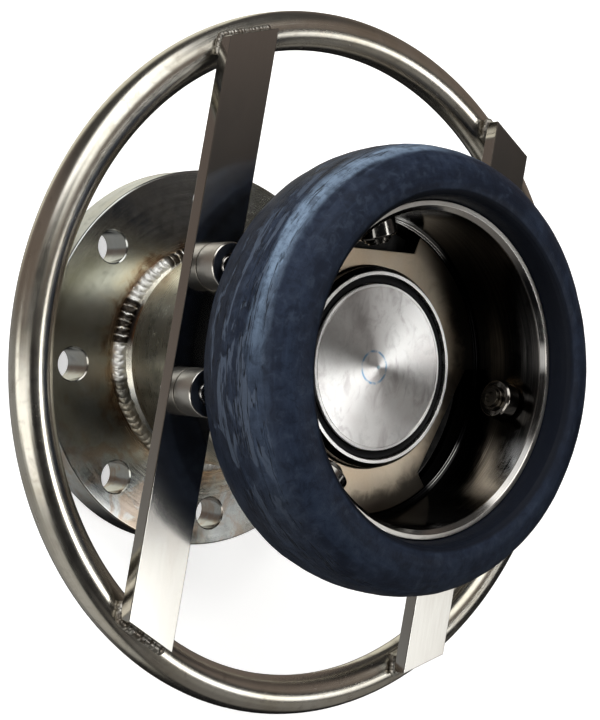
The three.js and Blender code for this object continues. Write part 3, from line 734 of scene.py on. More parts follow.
# worn pale and painted highlight along the shoulder, strongest on the side facing 226°, fainter over a wider side round
# 245°
side = m.facing(226, 0.5, 0.97)
wide = m.facing(245, 0.0, 0.7)
height = m.math("ABSOLUTE", m.math("SUBTRACT", m.z, m.ramp(bands, 0.3, 0.7, 217.0, 221.5)))
shoulder_wear_and_sheen = m.mul(m.ramp(m.r, 109.0, 112.5), m.ramp(height, 2.0, 8.5, 1.0, 0.0))
rub = m.mul(m.ramp(fine, 0.3, 0.6, 0.6, 1.0), m.ramp(mott, 0.34, 0.6, 0.45, 1.0))
c = m.mix(m.mul(m.mul(shoulder_wear_and_sheen, wide), m.mul(rub, 0.45)), c, (0.034, 0.052, 0.086))
c = m.mix(m.mul(m.mul(shoulder_wear_and_sheen, side), rub), c, (0.130, 0.180, 0.250))
patch = m.mul(m.mul(tread, wide), m.mul(m.ramp(blot, 0.53, 0.57), m.ramp(m.z, 181.0, 186.0)))
c = m.mix(m.mul(patch, 0.7), c, (0.048, 0.062, 0.088))
low = m.mul(tread, m.ramp(m.add(m.z, m.ramp(mott, 0.3, 0.7, -5.0, 5.0)), 206.0, 194.0))
c = m.mix(m.mul(m.mul(low, m.ramp(patch, 0.0, 0.5, 1.0, 0.0)), 0.45), c, (0.006, 0.008, 0.014))
crack = m.mul(m.ramp(m.math("ABSOLUTE", m.math("SUBTRACT", m.around(2.4, 0.3, 0.3, 3.0, 0.55), 0.5)), 0.004, 0.022, 1.0, 0.0), m.mul(tread, m.ramp(blot, 0.42, 0.52)))
c = m.mix(m.mul(crack, 0.85), c, (0.0015, 0.002, 0.004))
c = m.mix(m.ramp(pore, 0.56, 0.75, 0.0, 0.5), c, (0.005, 0.007, 0.012))
# painted shade: the front face near the lip darker on the side facing 100°
painted_far_side_shade = m.facing(100, 0.2, 0.95)
c = m.mix(m.mul(m.ramp(m.r, 97.0, 89.0), m.mul(painted_far_side_shade, 0.6)), c, (0.004, 0.005, 0.010))
# painted shade: the inner wall and the face next to the lip darker all round, below r 93
inner = m.ramp(m.r, 93.0, 91.0)
c = m.mix(m.mul(inner, 0.85), c, (0.003, 0.004, 0.007))
m.color(c).rough(m.add(m.ramp(cloud, 0.3, 0.7, 0.48, 0.6), m.mul(patch, 0.1)))
m.bump((cloud, 0.5), (bands, 0.35), (fine, 0.14), (pore, 0.10), (m.math("SUBTRACT", 1.0, crack), 0.16))
M["rubber"] = m.m

m = Mat("SealRubber", base=(0.004, 0.004, 0.005), metal=0.0, rough=0.5, spec=0.12)
n = m.noise(m.p, 0.8, 3.0)
m.color(m.mix(m.ramp(n, 0.4, 0.7), (0.003, 0.003, 0.0035), (0.008, 0.008, 0.010))).rough(m.ramp(n, 0.3, 0.7, 0.45, 0.6))
m.bump((n, 0.02))
M["seal"] = m.m

m = Mat("SlidePlastic", base=(0.03, 0.03, 0.03), metal=0.0, rough=0.55, spec=0.15)
n = m.noise(m.p, 0.3, 4.0)
m.color(m.mix(m.ramp(n, 0.35, 0.7), (0.020, 0.020, 0.021), (0.040, 0.039, 0.038))).rough(m.ramp(n, 0.3, 0.7, 0.5, 0.65))
m.bump((n, 0.03))
M["ptfe"] = m.m

m = Mat("BearingBronze", base=(0.6, 0.38, 0.16), rough=0.35)
n = m.noise(m.p, 0.4, 4.0)
m.color(m.mix(m.ramp(n, 0.35, 0.7), (0.62, 0.40, 0.17), (0.42, 0.25, 0.10))).rough(m.ramp(n, 0.3, 0.7, 0.28, 0.42))
m.bump((n, 0.02))
M["bronze"] = m.m


def place(ob, node, material):
    ob.data.materials.clear()
    ob.data.materials.append(M[material])
    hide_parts(node)
    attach(ob, BODY[node])
    return ob


# ------------------------------------------------------------------ flange end
flange = lathe("pipe_flange_fine", [
    (57.3, 0, 0.8), (78.6, 0, 0.3), (78.6, 1.6, 0.3), (114.3, 1.6, 0.8),
    (114.3, 23.9, 1.3), (57.3, 23.9, 0.3),
])
cutters = []
for i in range(8):
    a = rad(13.06 + 45 * i)
    c = lathe(f"cut{i}", [(0, -4), (10.4, -4), (10.4, 1.1, 0.3), (9.55, 1.9, 0.5), (9.55, 23.1, 0.5), (10.35, 23.9, 0.2), (10.9, 28), (0, 28)], 72, 0.1)
    move_verts(c, lambda v, a=a: v + np.array([95.25 * math.cos(a), 95.25 * math.sin(a), 0]))
    cutters.append(c)
boolean(flange, cutters)
soften(flange)
place(flange, "pipe_flange", "flange")

neck = lathe("neck_pipe_fine", [
    (51.1, 2.5, 1.0), (57.15, 2.5, 0.8), (57.15, 24.2), (63.3, 24.2), (63.3, 28.4), (60.5, 35.5, 0.4), (57.15, 35.5),
    (57.15, 48.85), (54.1, 48.85, 1.4), (54.1, 55.15, 1.4), (57.15, 55.15),
    (57.15, 64.85), (54.1, 64.85, 1.4), (54.1, 71.15, 1.4), (57.15, 71.15),
    (57.15, 88.4, 0.6), (51.1, 88.4, 0.6),
], seg=192)
place(neck, "neck_pipe", "neck")


def ring_bead(name, seg=1440, rows=14, seed=3):
    """The fillet weld of flange and neck: overlapping crescents, uneven in size."""
    rng = np.random.RandomState(seed)
    th = np.arange(seg) * 2 * math.pi / seg
    steps, x = [], 0.0
    while x < 2 * math.pi:  # where each crescent starts
        steps.append(x)
        x += rad(rng.uniform(2.6, 4.2))
    steps = np.array(steps) * 2 * math.pi / x
    width = rng.uniform(-0.55, 0.55, len(steps))
    push = rng.uniform(0.75, 1.35, len(steps))
    verts = []
    ph = np.linspace(0, math.pi / 2, rows)
    for j, p in enumerate(ph):
        bow = math.sin(2 * p) * rad(1.7)  # crescents bulge along the weld
        t = (th - bow) % (2 * math.pi)
        k = np.searchsorted(steps, t, side="right") - 1
        nxt = np.append(steps[1:], 2 * math.pi)
        u = (t - steps[k]) / (nxt[k] - steps[k])
        ripple = np.sqrt(np.clip(np.sin(math.pi * np.clip(u * 0.86 + 0.07, 0, 1)), 0, 1)) - 0.75
        q = np.stack([np.cos(th) * 66, np.sin(th) * 66, np.full(seg, 28 + 4 * p)], 1)
        h = 0.95 * push[k] * ripple * math.sin(p * 2) ** 0.5 + 0.28 * value_noise(q, 2.2, 5) + 0.4 * value_noise(q, 9, 8)
        h = h * min(1.0, 1.6 * math.sin(2 * p) + 0.12)
        a, b = 6.0 + 0.6 * width[k] * math.cos(p), 5.4 + 0.5 * width[k] * math.sin(p)
        r = 62.95 + a * math.cos(p) + h * math.cos(p)
        z = 23.92 + b * math.sin(p) + h * math.sin(p)
        verts.append(np.stack([r * np.cos(th), r * np.sin(th), z], 1))
    verts.append(np.stack([62.95 * np.cos(th), 62.95 * np.sin(th), np.full(seg, 23.92)], 1))
    v = np.concatenate(verts)
    faces = []
    n = rows + 1
    for j in range(n):
        j2 = (j + 1) % n
        for k in range(seg):
            l = (k + 1) % seg
            faces.append((j * seg + k, j * seg + l, j2 * seg + l, j2 * seg + k))
    ob = mesh_object(name, v, faces)
    fix_winding(ob)
    ob.data.set_sharp_from_angle(angle=rad(60))
    return ob


place(ring_bead("flange_weld_bead_fine"), "flange_weld_bead", "weld")

# ------------------------------------------------------------------ swivel
for row, (z, node) in enumerate(zip(BALL_Z, ("swivel_balls_rear", "swivel_balls_front"))):
    cage = lathe(node + "_fine", [(56.7, z - 0.7), (58.0, z - 0.7), (58.0, z + 0.7), (56.7, z + 0.7)], 144, 0.2)
    balls = []
    for i in range(8):
        a = rad((i + 0.5 * row) * 45)
        b = lathe(f"ball{i}", [(0, -2.9)] + [(2.9 * math.cos(rad(t)), 2.9 * math.sin(rad(t))) for t in range(-75, 80, 15)] + [(0, 2.9)], 24)
        move_verts(b, lambda v, a=a, z=z: v + np.array([57.35 * math.cos(a), 57.35 * math.sin(a), z]))
        balls.append(b)
    boolean(cage, balls, "UNION")
    soften(cage)
    place(cage, node, "roller")

place(lathe("swivel_o_ring_fine", [(59.1 + 1.75 * math.cos(rad(t)), 80.05 + 1.75 * math.sin(rad(t))) for t in range(0, 360, 15)], 144), "swivel_o_ring", "seal")
place(lathe("swivel_dust_seal_fine", [(57.65, 38.6), (59.8, 38.6), (59.8, 41.0), (57.65, 40.2)], 144, 0.3), "swivel_dust_seal", "seal")

housing = lathe("swivel_housing_fine", [
    (63.3, 36.0, 0.2), (64, 36.7, 0.5), (64, 109.7, 1.5), (73, 109.7, 0.8),
    (73, 117.7, 0.8), (60.4, 117.7), (60.4, 89.6), (57.5, 89.6),
    (57.5, 82.2), (60.9, 82.2), (60.9, 77.9), (57.5, 77.9),
    (57.5, 71.15), (60.6, 71.15, 1.4), (60.6, 64.85, 1.4), (57.5, 64.85),
    (57.5, 55.15), (60.6, 55.15, 1.4), (60.6, 48.85, 1.4), (57.5, 48.85),
    (57.5, 41.3), (60.1, 41.3), (60.1, 38.3), (57.5, 38.3), (57.5, 36.0, 0.5),
], seg=192)
boolean(housing, [lathe("cut", [(0, 58), (3.7, 58), (3.7, 67), (0, 67)], 40, 0.05, radial_matrix(a, z)) for a, z in ((80, 52), (100, 68))])
soften(housing)
place(housing, "swivel_housing", "housing")

for a, z, node in ((80, 52, "ball_plug_rear"), (100, 68, "ball_plug_front")):
    plug = lathe(node + "_fine", [(0, 61.0), (3.4, 61.0, 0.2), (3.4, 63.7, 0.4), (0, 63.7)], 40, 0.2, radial_matrix(a, z))
    slot = prism("slot", [(62.8, -0.55), (64.4, -0.55), (64.4, 0.55), (62.8, 0.55)], -4, 4, 0)
    slot.data.transform(Matrix.Translation((0, 0, z * MM)) @ Matrix.Rotation(rad(a), 4, "Z"))
    boolean(plug, [slot])
    soften(plug)
    place(plug, node, "bolt")

# ------------------------------------------------------------------ valve body
body = lathe("valve_body_fine", [
    (54.4, 90.0), (60.1, 90.0), (60.1, 118.0), (64.0, 118.0, 0.8),
    (64.0, 159.8, 0.8), (79.9, 159.8, 0.5), (79.9, 171.4, 0.9),
    (54.4, 171.4, 0.9),
    (54.4, 116.4), (57.6, 116.4), (57.6, 111.9), (54.4, 111.9),
])
tools = []
for a in ROLLER_ANGLES:
    mid = rad(a - 18.5)
    outlines = []
    for grow in (0.0, 0.45, 4.5):
        p0, p1 = rad(a - 43.6 - 0.8 * grow), rad(a + 12 + 0.8 * grow)
        pts = []
        for t in (p0, p1):
            r = (63.4 - grow) / math.cos(t - mid)
            pts.append((r * math.cos(t), r * math.sin(t)))
        outlines.append(pts + [(95 * math.cos(t), 95 * math.sin(t)) for t in (p1, (p0 + p1) / 2, p0)])
    tools.append(prism("cut", outlines[0], 159.0, 175.0, 0))
    tools.append(flared("cut", outlines[0], outlines[2], 170.95, 175.45))
for a in PIN_ANGLES:
    s = prism("cut", [(50, -4.4), (70, -4.4), (70, 4.4), (50, 4.4)], PIN_Z - 4.6, PIN_Z + STROKE + 4.6, 0)
    s.data.transform(Matrix.Rotation(rad(a), 4, "Z"))
    tools.append(s)
boolean(body, tools)
soften(body)
place(body, "valve_body", "plate")
place(lathe("piston_o_ring_fine", [(56.0 + 1.6 * math.cos(rad(t)), 114.15 + 1.9 * math.sin(rad(t))) for t in range(0, 360, 15)], 144), "piston_o_ring", "seal")

# ------------------------------------------------------------------ bell
bell = lathe("bell_housing_fine", [
    (87.2, 222.3, 0.5), (84.6, 222.3, 0.3), (82.2, 219.9, 0.5), (82.2, 171.4, 0.4),
    (80.4, 171.4, 0.25), (80.4, 157.2, 0.6), (64.4, 157.2, 0.3),
    (64.4, 155.6), (66.8, 155.6), (66.8, 150.9), (64.4, 150.9),
    (64.4, 118.2, 0.5), (74, 118.2, 0.8), (74, 147, 1.2), (78.5, 147, 0.4), (80, 148.5, 0.4),
    (80, 154.4, 0.6), (92, 154.4, 1.0), (92, 170.9, 1.0), (87.2, 170.9, 0.5),
])
lugs, holes = [], []
for y in LUG_Y:
    for x in (-LUG_X, LUG_X):
        a, d = math.atan2(y, x), math.hypot(x, y)
        lug = lathe("lug", [(0, 154.0), (12.4, 154.0, 0.6), (12.4, 168.0, 1.1), (0, 168.0)], 96)
        move_verts(lug, lambda v, x=x, y=y: v + np.array([x, y, 0]))
        lugs.append(lug)
        web = prism("web", [(88, -8.5), (d, -8.5), (d, 8.5), (88, 8.5)], 155.2, 166.5, 0.8)
        web.data.transform(Matrix.Rotation(a, 4, "Z"))
        lugs.append(web)
        hole = lathe("cut", [(0, 150), (6.3, 150), (6.3, 167.5, 0.2), (7.0, 168.2, 0.2), (7.0, 172), (0, 172)], 64, 0.1)
        move_verts(hole, lambda v, x=x, y=y: v + np.array([x, y, 0]))
        holes.append(hole)
boolean(bell, lugs, "UNION")
for a in ROLLER_ANGLES:
    holes.append(lathe("cut", [(0, 75), (4.7, 75), (4.7, 95), (0, 95)], 48, 0.1, radial_matrix(a, ROLLER_Z)))
for a in PIN_ANGLES:  # helical cam grooves in the hub's bore
    t = np.linspace(-4.0, TURN + 4.0, 60)
    path = np.stack([63.6 * np.cos(np.radians(a - t)), 63.6 * np.sin(np.radians(a - t)), PIN_Z + STROKE * t / TURN], 1)
    holes.append(tube("cut", path, 4.6, 20))
boolean(bell, holes)
soften(bell)
place(bell, "bell_housing", "bell")

place(lathe("bell_bearing_band_fine", [(64.3, 151.2), (66.6, 151.2), (66.6, 155.3), (64.3, 155.3)], 192, 0.3), "bell_bearing_band", "bronze")
place(lathe("thrust_washer_fine", [(64.6, 157.4), (78.6, 157.4), (78.6, 159.4), (64.6, 159.4)], 192, 0.3), "thrust_washer", "ptfe")


def rubber_ring(name):
    """Moulded ring, a little out of true, with three shallow dents."""
    prof = [(87.5, 171.7, 1.0), (107.6, 171.6, 2.6), (112.1, 175.4), (114.4, 180.2), (115.9, 186.0), (116.9, 193.0),
            (117.35, 199.0), (117.5, 205.2), (117.3, 210.2), (116.8, 214.7), (115.9, 218.6), (114.6, 222.2), (113.0, 225.4),
            (111.0, 228.2), (108.7, 230.4), (106.0, 232.3), (103.0, 233.8), (99.6, 235.0), (96.6, 235.6), (94.2, 235.6),
            (92.3, 235.1), (90.7, 234.1), (89.5, 232.7), (88.8, 230.8), (88.3, 228.0), (87.9, 225.0), (87.7, 222.0, 0.5)]
    ob = lathe(name, prof, 432, 0.5, divide=2.2)

    def shape(v):
        r = np.hypot(v[:, 0], v[:, 1])
        w = np.clip((r - 89) / 22, 0, 1)
        w = w * w * (3 - 2 * w)
        d = 0.55 * value_noise(v, 46, 21) + 0.25 * value_noise(v, 17, 22) + 0.10 * value_noise(v, 5, 23)
        out = v.copy()
        out[:, :2] += v[:, :2] / r[:, None] * (d * w)[:, None]
        out[:, 2] += 0.30 * value_noise(v, 30, 24) * w * (v[:, 2] > 176)
        out[:, 0] += 0.9 * w  # the ring sags a little towards +X
        for ang, z, size, deep in ((123.0, 229.0, 3.4, 0.9), (-40.0, 231.5, 3.0, 0.7), (197.0, 205.0, 5.0, 0.6)):
            q = np.array([112.5 * math.cos(rad(ang)), 112.5 * math.sin(rad(ang)), z])
            dist = np.linalg.norm(v - q, axis=1)
            out[:, :2] -= v[:, :2] / r[:, None] * (deep * np.exp(-(dist / size) ** 2))[:, None]
        return out

    me = ob.data
    move_verts(ob, shape)
    me.normals_split_custom_set([(0, 0, 0)] * len(me.loops))
    me.set_sharp_from_angle(angle=rad(50))
    return ob


place(rubber_ring("rubber_bumper_fine"), "rubber_bumper", "rubber")

for i, a in enumerate(ROLLER_ANGLES, 1):
    mat = radial_matrix(a, ROLLER_Z)
    pin = lathe(f"roller_pin_{i}_fine", [
        (0, 69.0), (2.9, 69.0, 0.1), (2.9, 67.7, 0.2), (5.4, 67.7, 0.35), (5.4, 69.1, 0.1), (6.9, 69.1, 0.3), (6.9, 70.8, 0.2),
        (4.5, 70.8, 0.2), (4.5, 86.2, 0.4), (0, 86.2),
    ], 96, 0.2, mat)
    place(pin, f"roller_pin_{i}", "pin")
    roller = lathe(f"cam_roller_{i}_fine", [
        (4.75, 71.2), (9.9, 71.2, 0.5), (10.9, 72.2, 0.8), (10.9, 79.8, 0.7), (10.0, 80.7, 0.4), (4.75, 80.7),
    ], 128, 0.25, mat)
    place(roller, f"cam_roller_{i}", "roller")

# ------------------------------------------------------------------ handwheel
seg, sides = 480, 40
ta, tb = np.arange(seg) * 2 * math.pi / seg, np.arange(sides) * 2 * math.pi / sides
A, B = np.meshgrid(ta, tb, indexing="ij")
nr = np.stack([np.cos(B) * np.cos(A), np.cos(B) * np.sin(A), np.sin(B)], -1).reshape(-1, 3)
ce = np.stack([WHEEL_R * np.cos(A), WHEEL_R * np.sin(A), np.full(A.shape, WHEEL_Z)], -1).reshape(-1, 3)
vv = ce + nr * WHEEL_TUBE
ff = [(i * sides + j, ((i + 1) % seg) * sides + j, ((i + 1) % seg) * sides + (j + 1) % sides, i * sides + (j + 1) % sides) for i in range(seg) for j in range(sides)]
place(mesh_object("handwheel_ring_fine", vv, ff, nr), "handwheel_ring", "wheel")


def bead(name, path, radius, pitch=2.3, seed=1, flat=0.75):
    """A short weld bead along a path, rippled."""
    rng = np.random.RandomState(seed)
    path = np.asarray(path, float)
    seg_len = np.linalg.norm(np.diff(path, axis=0), axis=1)
    s = np.concatenate([[0], np.cumsum(seg_len)])
    t = np.arange(0, s[-1], 0.45)
    p = np.stack([np.interp(t, s, path[:, k]) for k in range(3)], 1)
    for _ in range(6):  # round the corners
        p[1:-1] = 0.25 * p[:-2] + 0.5 * p[1:-1] + 0.25 * p[2:]
    rip = np.sqrt(np.abs(np.sin(math.pi * t / pitch + 0.6 * np.sin(t * 0.9))))
    rr = radius * (0.82 + 0.2 * rip + 0.05 * rng.uniform(-1, 1, len(t)))
    rr *= np.clip(np.minimum(t, s[-1] - t) / radius * 0.5 + 0.55, 0, 1)
    return tube(name, p, radius, 14, radius_at=rr)


for b, (y0, tilt) in enumerate(BARS):
    side, slope = math.copysign(1, y0), math.tan(rad(tilt))

    def at(x, off):
        return (x, y0 + slope * x + side * off)

    bar = prism(f"handwheel_bar_{b + 1}_fine", [at(-BAR_IN, -BAR_HALF), at(BAR_IN, -BAR_HALF), at(BAR_OUT, BAR_HALF), at(-BAR_OUT, BAR_HALF)], BAR_Z0, BAR_Z1, 0.55, 3)
    tools = []
    for x in (-LUG_X, LUG_X):
        c = lathe("cut", [(0, 140), (6.4, 140), (6.4, 158), (0, 158)], 64, 0.1)
        move_verts(c, lambda v, x=x: v + np.array([x, LUG_Y[b], 0]))
        tools.append(c)
    boolean(bar, tools)
    soften(bar)
    place(bar, f"handwheel_bar_{b + 1}", "bar")

    for sx in (-1, 1):
        node = f"bar_weld_{2 * b + (1 if sx < 0 else 2)}"
        pad = prism(node + "_fine", [at(sx * (BAR_IN - 9), -BAR_HALF + 1.2), at(sx * (BAR_IN + 0.6), -BAR_HALF + 1.2),
                                     at(sx * (BAR_OUT + 0.6), BAR_HALF - 1.2), at(sx * (BAR_OUT - 9), BAR_HALF - 1.2)], 137.0, 145.2, 0.5, 2)
        end = [np.array([*at(sx * (BAR_IN + 1.0 - k * (BAR_IN - BAR_OUT) / (2 * BAR_HALF)), -BAR_HALF + k), 144.6]) for k in np.linspace(0.5, 2 * BAR_HALF - 0.5, 12)]
        inner = [np.array([*at(sx * (BAR_IN - 9 - k), -BAR_HALF + 1.0), 143.2]) for k in (-1.0, -4.0)]
        outer = [np.array([*at(sx * (BAR_OUT - 9 - k), BAR_HALF - 1.0), 143.2]) for k in (-4.0, -1.0)]
        join = bead("bead", inner + end + outer, 2.2, seed=5 + b * 2 + sx)
        boolean(pad, [join], "UNION")
        ring = lathe("ring", [(WHEEL_R + (WHEEL_TUBE + 0.05) * math.cos(rad(t)), WHEEL_Z + (WHEEL_TUBE + 0.05) * math.sin(rad(t))) for t in range(0, 360, 9)], 480)
        boolean(pad, [ring])
        soften(pad, angle=40)
        place(pad, node, "weld")

    for k, x in enumerate((-LUG_X, LUG_X)):
        node = f"bar_bolt_{2 * b + k + 1}"
        hexa = [(x + 18 / math.sqrt(3) * math.cos(rad(60 * i + 30)), LUG_Y[b] + 18 / math.sqrt(3) * math.sin(rad(60 * i + 30))) for i in range(6)]
        head = prism(node + "_fine", hexa, BAR_Z0 - 7.6, BAR_Z0 - 0.6, 0)
        cone = lathe("cone", [(0, BAR_Z0 - 7.6), (8.7, BAR_Z0 - 7.6), (10.9, BAR_Z0 - 6.3), (10.9, BAR_Z0), (0, BAR_Z0)], 72, 0.1)
        shank = lathe("shank", [(0, BAR_Z0 - 4)] + [(8.6, BAR_Z0 - 4), (8.6, BAR_Z0 - 0.1, 0.15), (5.85, BAR_Z0 - 0.1, 0.2)]
                      + [(r, z, 0.12) for q in range(11) for r, z in ((5.85, 149.0 + q * 1.45), (5.25, 149.72 + q * 1.45))]
                      + [(5.3, 165.4, 0.1), (5.85, 166.0, 0.1), (5.85, 166.9, 0.2), (5.15, 167.6, 0.25), (0, 167.6)], 72, 0.15)
        for o in (cone, shank):
            move_verts(o, lambda v, x=x: v + np.array([x, LUG_Y[b], 0]))
        boolean(head, [cone], "INTERSECT")
        boolean(head, [shank], "UNION")
        soften(head, angle=28)
        place(head, node, "bolt")

# ------------------------------------------------------------------ piston and poppet
sleeve = lathe("piston_sleeve_fine", [
    (49.6, 90.5, 0.6), (54.0, 90.5, 0.8), (54.0, 172.0, 0.3), (51.2, 172.0, 0.3), (51.2, 111.8, 0.3), (49.6, 111.8, 0.3),
], seg=192)
boolean(sleeve, [lathe("cut", [(0, 45), (4.1, 45), (4.1, 60), (0, 60)], 48, 0.1, radial_matrix(a, PIN_Z)) for a in PIN_ANGLES])
soften(sleeve)
place(sleeve, "piston_sleeve", "bell")

place(lathe("seat_ring_fine", [
    (46.0, 160.3), (51.0, 160.3), (51.0, 172.3), (54.0, 172.3, 0.3), (54.0, 176.2, 0.3), (51.3, 179.6, 0.3),
    (49.5, 179.6, 0.3), (49.4, 172.5, 0.1), (46.0, 172.5, 0.2),
]), "seat_ring", "seat")
place(lathe("face_seal_fine", [(45.1, 172.7, 0.3), (49.2, 172.7, 0.3), (49.2, 177.3, 0.9), (47.2, 177.6, 1.2), (45.1, 177.0, 0.9)], default=0.3), "face_seal", "seal")
for i, a in enumerate(PIN_ANGLES, 1):
    pin = lathe(f"drive_pin_{i}_fine", [(0, 51.5), (4.0, 51.5, 0.3), (4.0, 64.3, 0.8), (3.5, 65.6, 0.8), (2.2, 66.8, 0.8), (0, 67.2)], 48, 0.3, radial_matrix(a, PIN_Z))
    place(pin, f"drive_pin_{i}", "bolt")

spider = lathe("stem_guide_spider_fine", [(8.35, 108.4, 0.3), (14, 108.4, 0.8), (14, 124, 1.0), (12, 128, 0.8), (8.35, 128, 0.4)], 96)
parts = [lathe("rim", [(46.5, 112.1, 0.8), (50.9, 112.1, 0.4), (50.9, 121, 0.4), (46.5, 121, 0.8)], 144)]
for i in range(3):
    rib = prism("rib", [(11.5, -2.6), (48.5, -2.6), (48.5, 2.6), (11.5, 2.6)], 112.4, 120.7, 0.9, 3)
    rib.data.transform(Matrix.Rotation(rad(60 + 120 * i), 4, "Z"))
    parts.append(rib)
boolean(spider, parts, "UNION")
soften(spider, angle=40)
place(spider, "stem_guide_spider", "plate")

place(lathe("poppet_disc_fine", [
    (0, 174.5), (8.25, 174.5, 0.1), (8.25, 162, 0.3), (13, 162, 0.8), (13, 166, 1.6), (36, 167.6, 3.0), (44.6, 171.6, 0.4),
    (44.6, 173.2, 0.2), (42.3, 173.2), (42.3, 176.8), (44.6, 176.8, 0.2), (44.6, 179.05, 0.3),
    (43.3, 179.05, 0.1), (43.2, 178.7, 0.1), (42.75, 178.7, 0.1), (42.65, 179.05, 0.1),
    (1.3, 179.05, 0.1), (0.9, 178.7, 0.2), (0, 178.6),
], default=0.25), "poppet_disc", "poppet")
place(lathe("poppet_o_ring_fine", [(43.65 + 1.15 * math.cos(rad(t)), 175.0 + 1.5 * math.sin(rad(t))) for t in range(0, 360, 15)], 192), "poppet_o_ring", "seal")
place(lathe("poppet_stem_fine", [(0, 96.5), (7, 96.5, 0.3)] + [(r, z, 0.12) for q in range(8) for r, z in ((8.0, 97.6 + q * 1.5), (7.4, 98.35 + q * 1.5))]
            + [(8.0, 110.0, 0.3), (8.0, 174.2, 0.3), (0, 174.2)], 96, 0.2), "poppet_stem", "seat")
nut = prism("stem_nut_fine", [(24 / math.sqrt(3) * math.cos(rad(60 * i + 30)), 24 / math.sqrt(3) * math.sin(rad(60 * i + 30))) for i in range(6)], 100.6, 108.1, 0)
boolean(nut, [lathe("cone", [(0, 100.6), (11.6, 100.6), (14.4, 102.2), (14.4, 106.5), (11.6, 108.1), (0, 108.1)], 96, 0.1)], "INTERSECT")
boolean(nut, [lathe("cut", [(0, 98), (9.1, 98), (9.1, 101.0), (8.25, 101.8), (8.25, 107), (9.1, 107.8), (9.1, 111), (0, 111)], 96, 0.05)])
soften(nut, angle=28)
place(nut, "stem_nut", "bolt")

# Spring: closed end coils, so it sits flat on the spider and on the poppet.
turns = 5.5
t = np.linspace(0, 1, 420)
zz = np.interp(t, [0, 0.9 / turns, 1 - 0.9 / turns, 1], [123.45, 124.6, 163.0, 164.0])
path = np.stack([19 * np.cos(2 * math.pi * turns * t), 19 * np.sin(2 * math.pi * turns * t), zz], 1)
spring = tube("poppet_spring_fine", path, 1.65, 16)
place(spring, "poppet_spring", "spring")
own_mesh(spring)

# ------------------------------------------------------------------ floor, light, camera
floor = mesh_object("floor", [(6000 * math.cos(rad(a)), 6000 * math.sin(rad(a)), -0.4) for a in range(0, 360, 6)], [tuple(range(60))])
fm = Mat("FloorPaper", base=(0.86, 0.86, 0.86), metal=0.0, rough=0.9, spec=0.1)
fm.b.inputs["Emission Color"].default_value = (1, 1, 1, 1)
fm.b.inputs["Emission Strength"].default_value = 0.6
floor.data.materials.append(fm.m)
floor.visible_glossy = False

RIGHT, UP, BACK = (-0.16808, 0.75538, 0.63336), (-0.98108, -0.19083, -0.03276), (0.09612, -0.62688, 0.77316)
cam_data = bpy.data.cameras.new("camera")
cam = link(bpy.data.objects.new("camera", cam_data))
cam.matrix_world = Matrix((
    (RIGHT[0], UP[0], BACK[0], 0.0834),
    (RIGHT[1], UP[1], BACK[1], -0.5555),
    (RIGHT[2], UP[2], BACK[2], 0.7973),
    (0, 0, 0, 1),
))
cam_data.lens, cam_data.sensor_width, cam_data.sensor_fit = 78.03, 36.0, "AUTO"
cam_data.clip_start, cam_data.clip_end = 0.05, 50
scene.camera = cam


def direction(az, el):
    """A direction of the room, from the photographer's place: 0 behind the camera, 90 to the right, in degrees."""
    a, e = rad(az), rad(el)
    v = Vector(RIGHT) * (math.sin(a) * math.cos(e)) + Vector(UP) * math.sin(e) + Vector(BACK) * (math.cos(a) * math.cos(e))
    return v.normalized()


def softbox(name, az, el, distance, size, power, spread=120, color=(1, 1, 1), target=(0.0, 0.0, 0.12), size_y=None):
    data = bpy.data.lights.new(name, "AREA")
    data.energy, data.color, data.shape, data.size = power, color, "RECTANGLE", size
    data.size_y = size_y or size
    data.spread = rad(spread)
    ob = link(bpy.data.objects.new(name, data))
    d = direction(az, el)
    ob.location = Vector(target) + d * distance
    ob.rotation_mode = "QUATERNION"
    ob.rotation_quaternion = d.to_track_quat("Z", "Y")
    return ob


world = bpy.data.worlds.new("room")
scene.world = world
world.use_nodes = True
wt = world.node_tree
wt.nodes.clear()


def wnode(kind, **kw):
    n = wt.nodes.new(kind)
    for k, v in kw.items():
        setattr(n, k, v)
    return n


def wput(s, v):
    if hasattr(v, "node"):
        wt.links.new(v, s)
    elif isinstance(v, (tuple, list)) and s.type == "RGBA" and len(v) == 3:
        s.default_value = (*v, 1)
    else:
        s.default_value = v


wdir = wnode("ShaderNodeTexCoord").outputs["Generated"]


def wdot(v):
    n = wnode("ShaderNodeVectorMath", operation="DOT_PRODUCT")
    wput(n.inputs[0], wdir)
    wput(n.inputs[1], tuple(v))
    return n.outputs[1]


def wramp(f, lo, hi, a=0.0, b=1.0):
    n = wnode("ShaderNodeMapRange", interpolation_type="SMOOTHSTEP")
    wput(n.inputs[0], f)
    for k, v in zip((1, 2, 3, 4), (lo, hi, a, b)):
        wput(n.inputs[k], v)
    return n.outputs[0]


def wmix(f, a, b):
    n = wnode("ShaderNodeMix", data_type="RGBA")
    wput(n.inputs[0], f)
    wput(n.inputs[6], a)
    wput(n.inputs[7], b)
    return n.outputs[2]


up, right, back = wdot(UP), wdot(RIGHT), wdot(BACK)


def wmath(op, a, b=None):
    n = wnode("ShaderNodeMath", operation=op)
    wput(n.inputs[0], a)
    if b is not None:
        wput(n.inputs[1], b)
    return n.outputs[0]


el = wmath("MULTIPLY", wmath("ARCSINE", up), 180 / math.pi)
az = wmath("MULTIPLY", wmath("ARCTAN2", right, back), 180 / math.pi)


def window(az0, az1, el0, el1, soft_az=8.0, soft_el=8.0):
    """1 inside a patch of the room, in degrees, fading out over its edges."""
    f = wmath("MULTIPLY", wramp(az, az0 - soft_az, az0 + soft_az), wramp(az, az1 - soft_az, az1 + soft_az, 1.0, 0.0))
    g = wmath("MULTIPLY", wramp(el, el0 - soft_el, el0 + soft_el), wramp(el, el1 - soft_el, el1 + soft_el, 1.0, 0.0))
    return wmath("MULTIPLY", f, g)


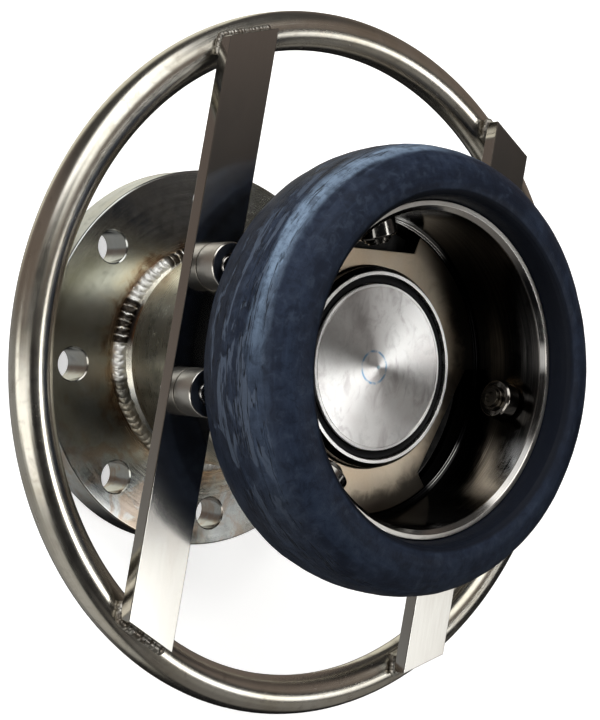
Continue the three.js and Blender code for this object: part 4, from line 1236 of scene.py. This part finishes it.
room = wmix(wramp(el, -1, 4), (0.010, 0.010, 0.011), (0.060, 0.055, 0.052))
room = wmix(wramp(el, 4, 11), room, (0.19, 0.155, 0.135))
room = wmix(wramp(el, 34, 56), room, (0.06, 0.057, 0.055))
for patch, level in (
    (window(-150, -62, -40, 8, 12, 6), (0.34, 0.335, 0.32)),
    (window(-190, -126, 14, 60, 12, 10), (0.95, 0.92, 0.78)),
    (window(-20, 30, 4, 30, 8, 4), (0.03, 0.028, 0.026)),
    (window(18, 150, -85, -50, 14, 6), (0.18, 0.17, 0.16)),
    (window(52, 150, -55, -32, 10, 5), (0.26, 0.25, 0.235)),
    (window(-130, -22, -85, -38, 10, 8), (0.50, 0.49, 0.46)),
    (window(-62, -10, -34, -2, 6, 5), (1.9, 1.88, 1.8)),
    (window(-74, -54, -18, 5, 5, 4), (2.0, 1.98, 1.85)),
    (window(-16, 4, -15, -3, 4, 3), (1.7, 1.68, 1.6)),
    (window(-16, 50, 34, 80, 10, 5), (2.4, 2.4, 2.35)),
    (window(24, 61, 21, 44, 9, 6), (2.2, 2.2, 2.1)),
    (window(48, 69, -6, 5, 6, 4), (0.16, 0.155, 0.14)),
    (window(58, 88, -27, -9.2, 4, 1.0), (1.8, 1.79, 1.75)),
    (window(58, 68, -14, -4, 3, 2), (11.0, 11.0, 10.8)),
    (window(61, 71, -21, -12, 4, 3), (8.0, 8.0, 7.9)),
):
    room = wmix(patch, room, level)
bg_room = wnode("ShaderNodeBackground")
wput(bg_room.inputs[0], room)
bg_room.inputs[1].default_value = 1.0
bg_seen = wnode("ShaderNodeBackground")
bg_seen.inputs[0].default_value = (0.93, 0.93, 0.93, 1)
lp = wnode("ShaderNodeLightPath")
ms = wnode("ShaderNodeMixShader")
wt.links.new(lp.outputs["Is Camera Ray"], ms.inputs[0])
wt.links.new(bg_room.outputs[0], ms.inputs[1])
wt.links.new(bg_seen.outputs[0], ms.inputs[2])
wo = wnode("ShaderNodeOutputWorld")
wt.links.new(ms.outputs[0], wo.inputs[0])

for ob in (softbox("key", 5, 50, 1.5, 0.7, 7), softbox("fill", -35, 0, 2.2, 1.2, 7)):
    ob.visible_glossy = False

scene.view_settings.view_transform = "Standard"
scene.view_settings.look = "None"
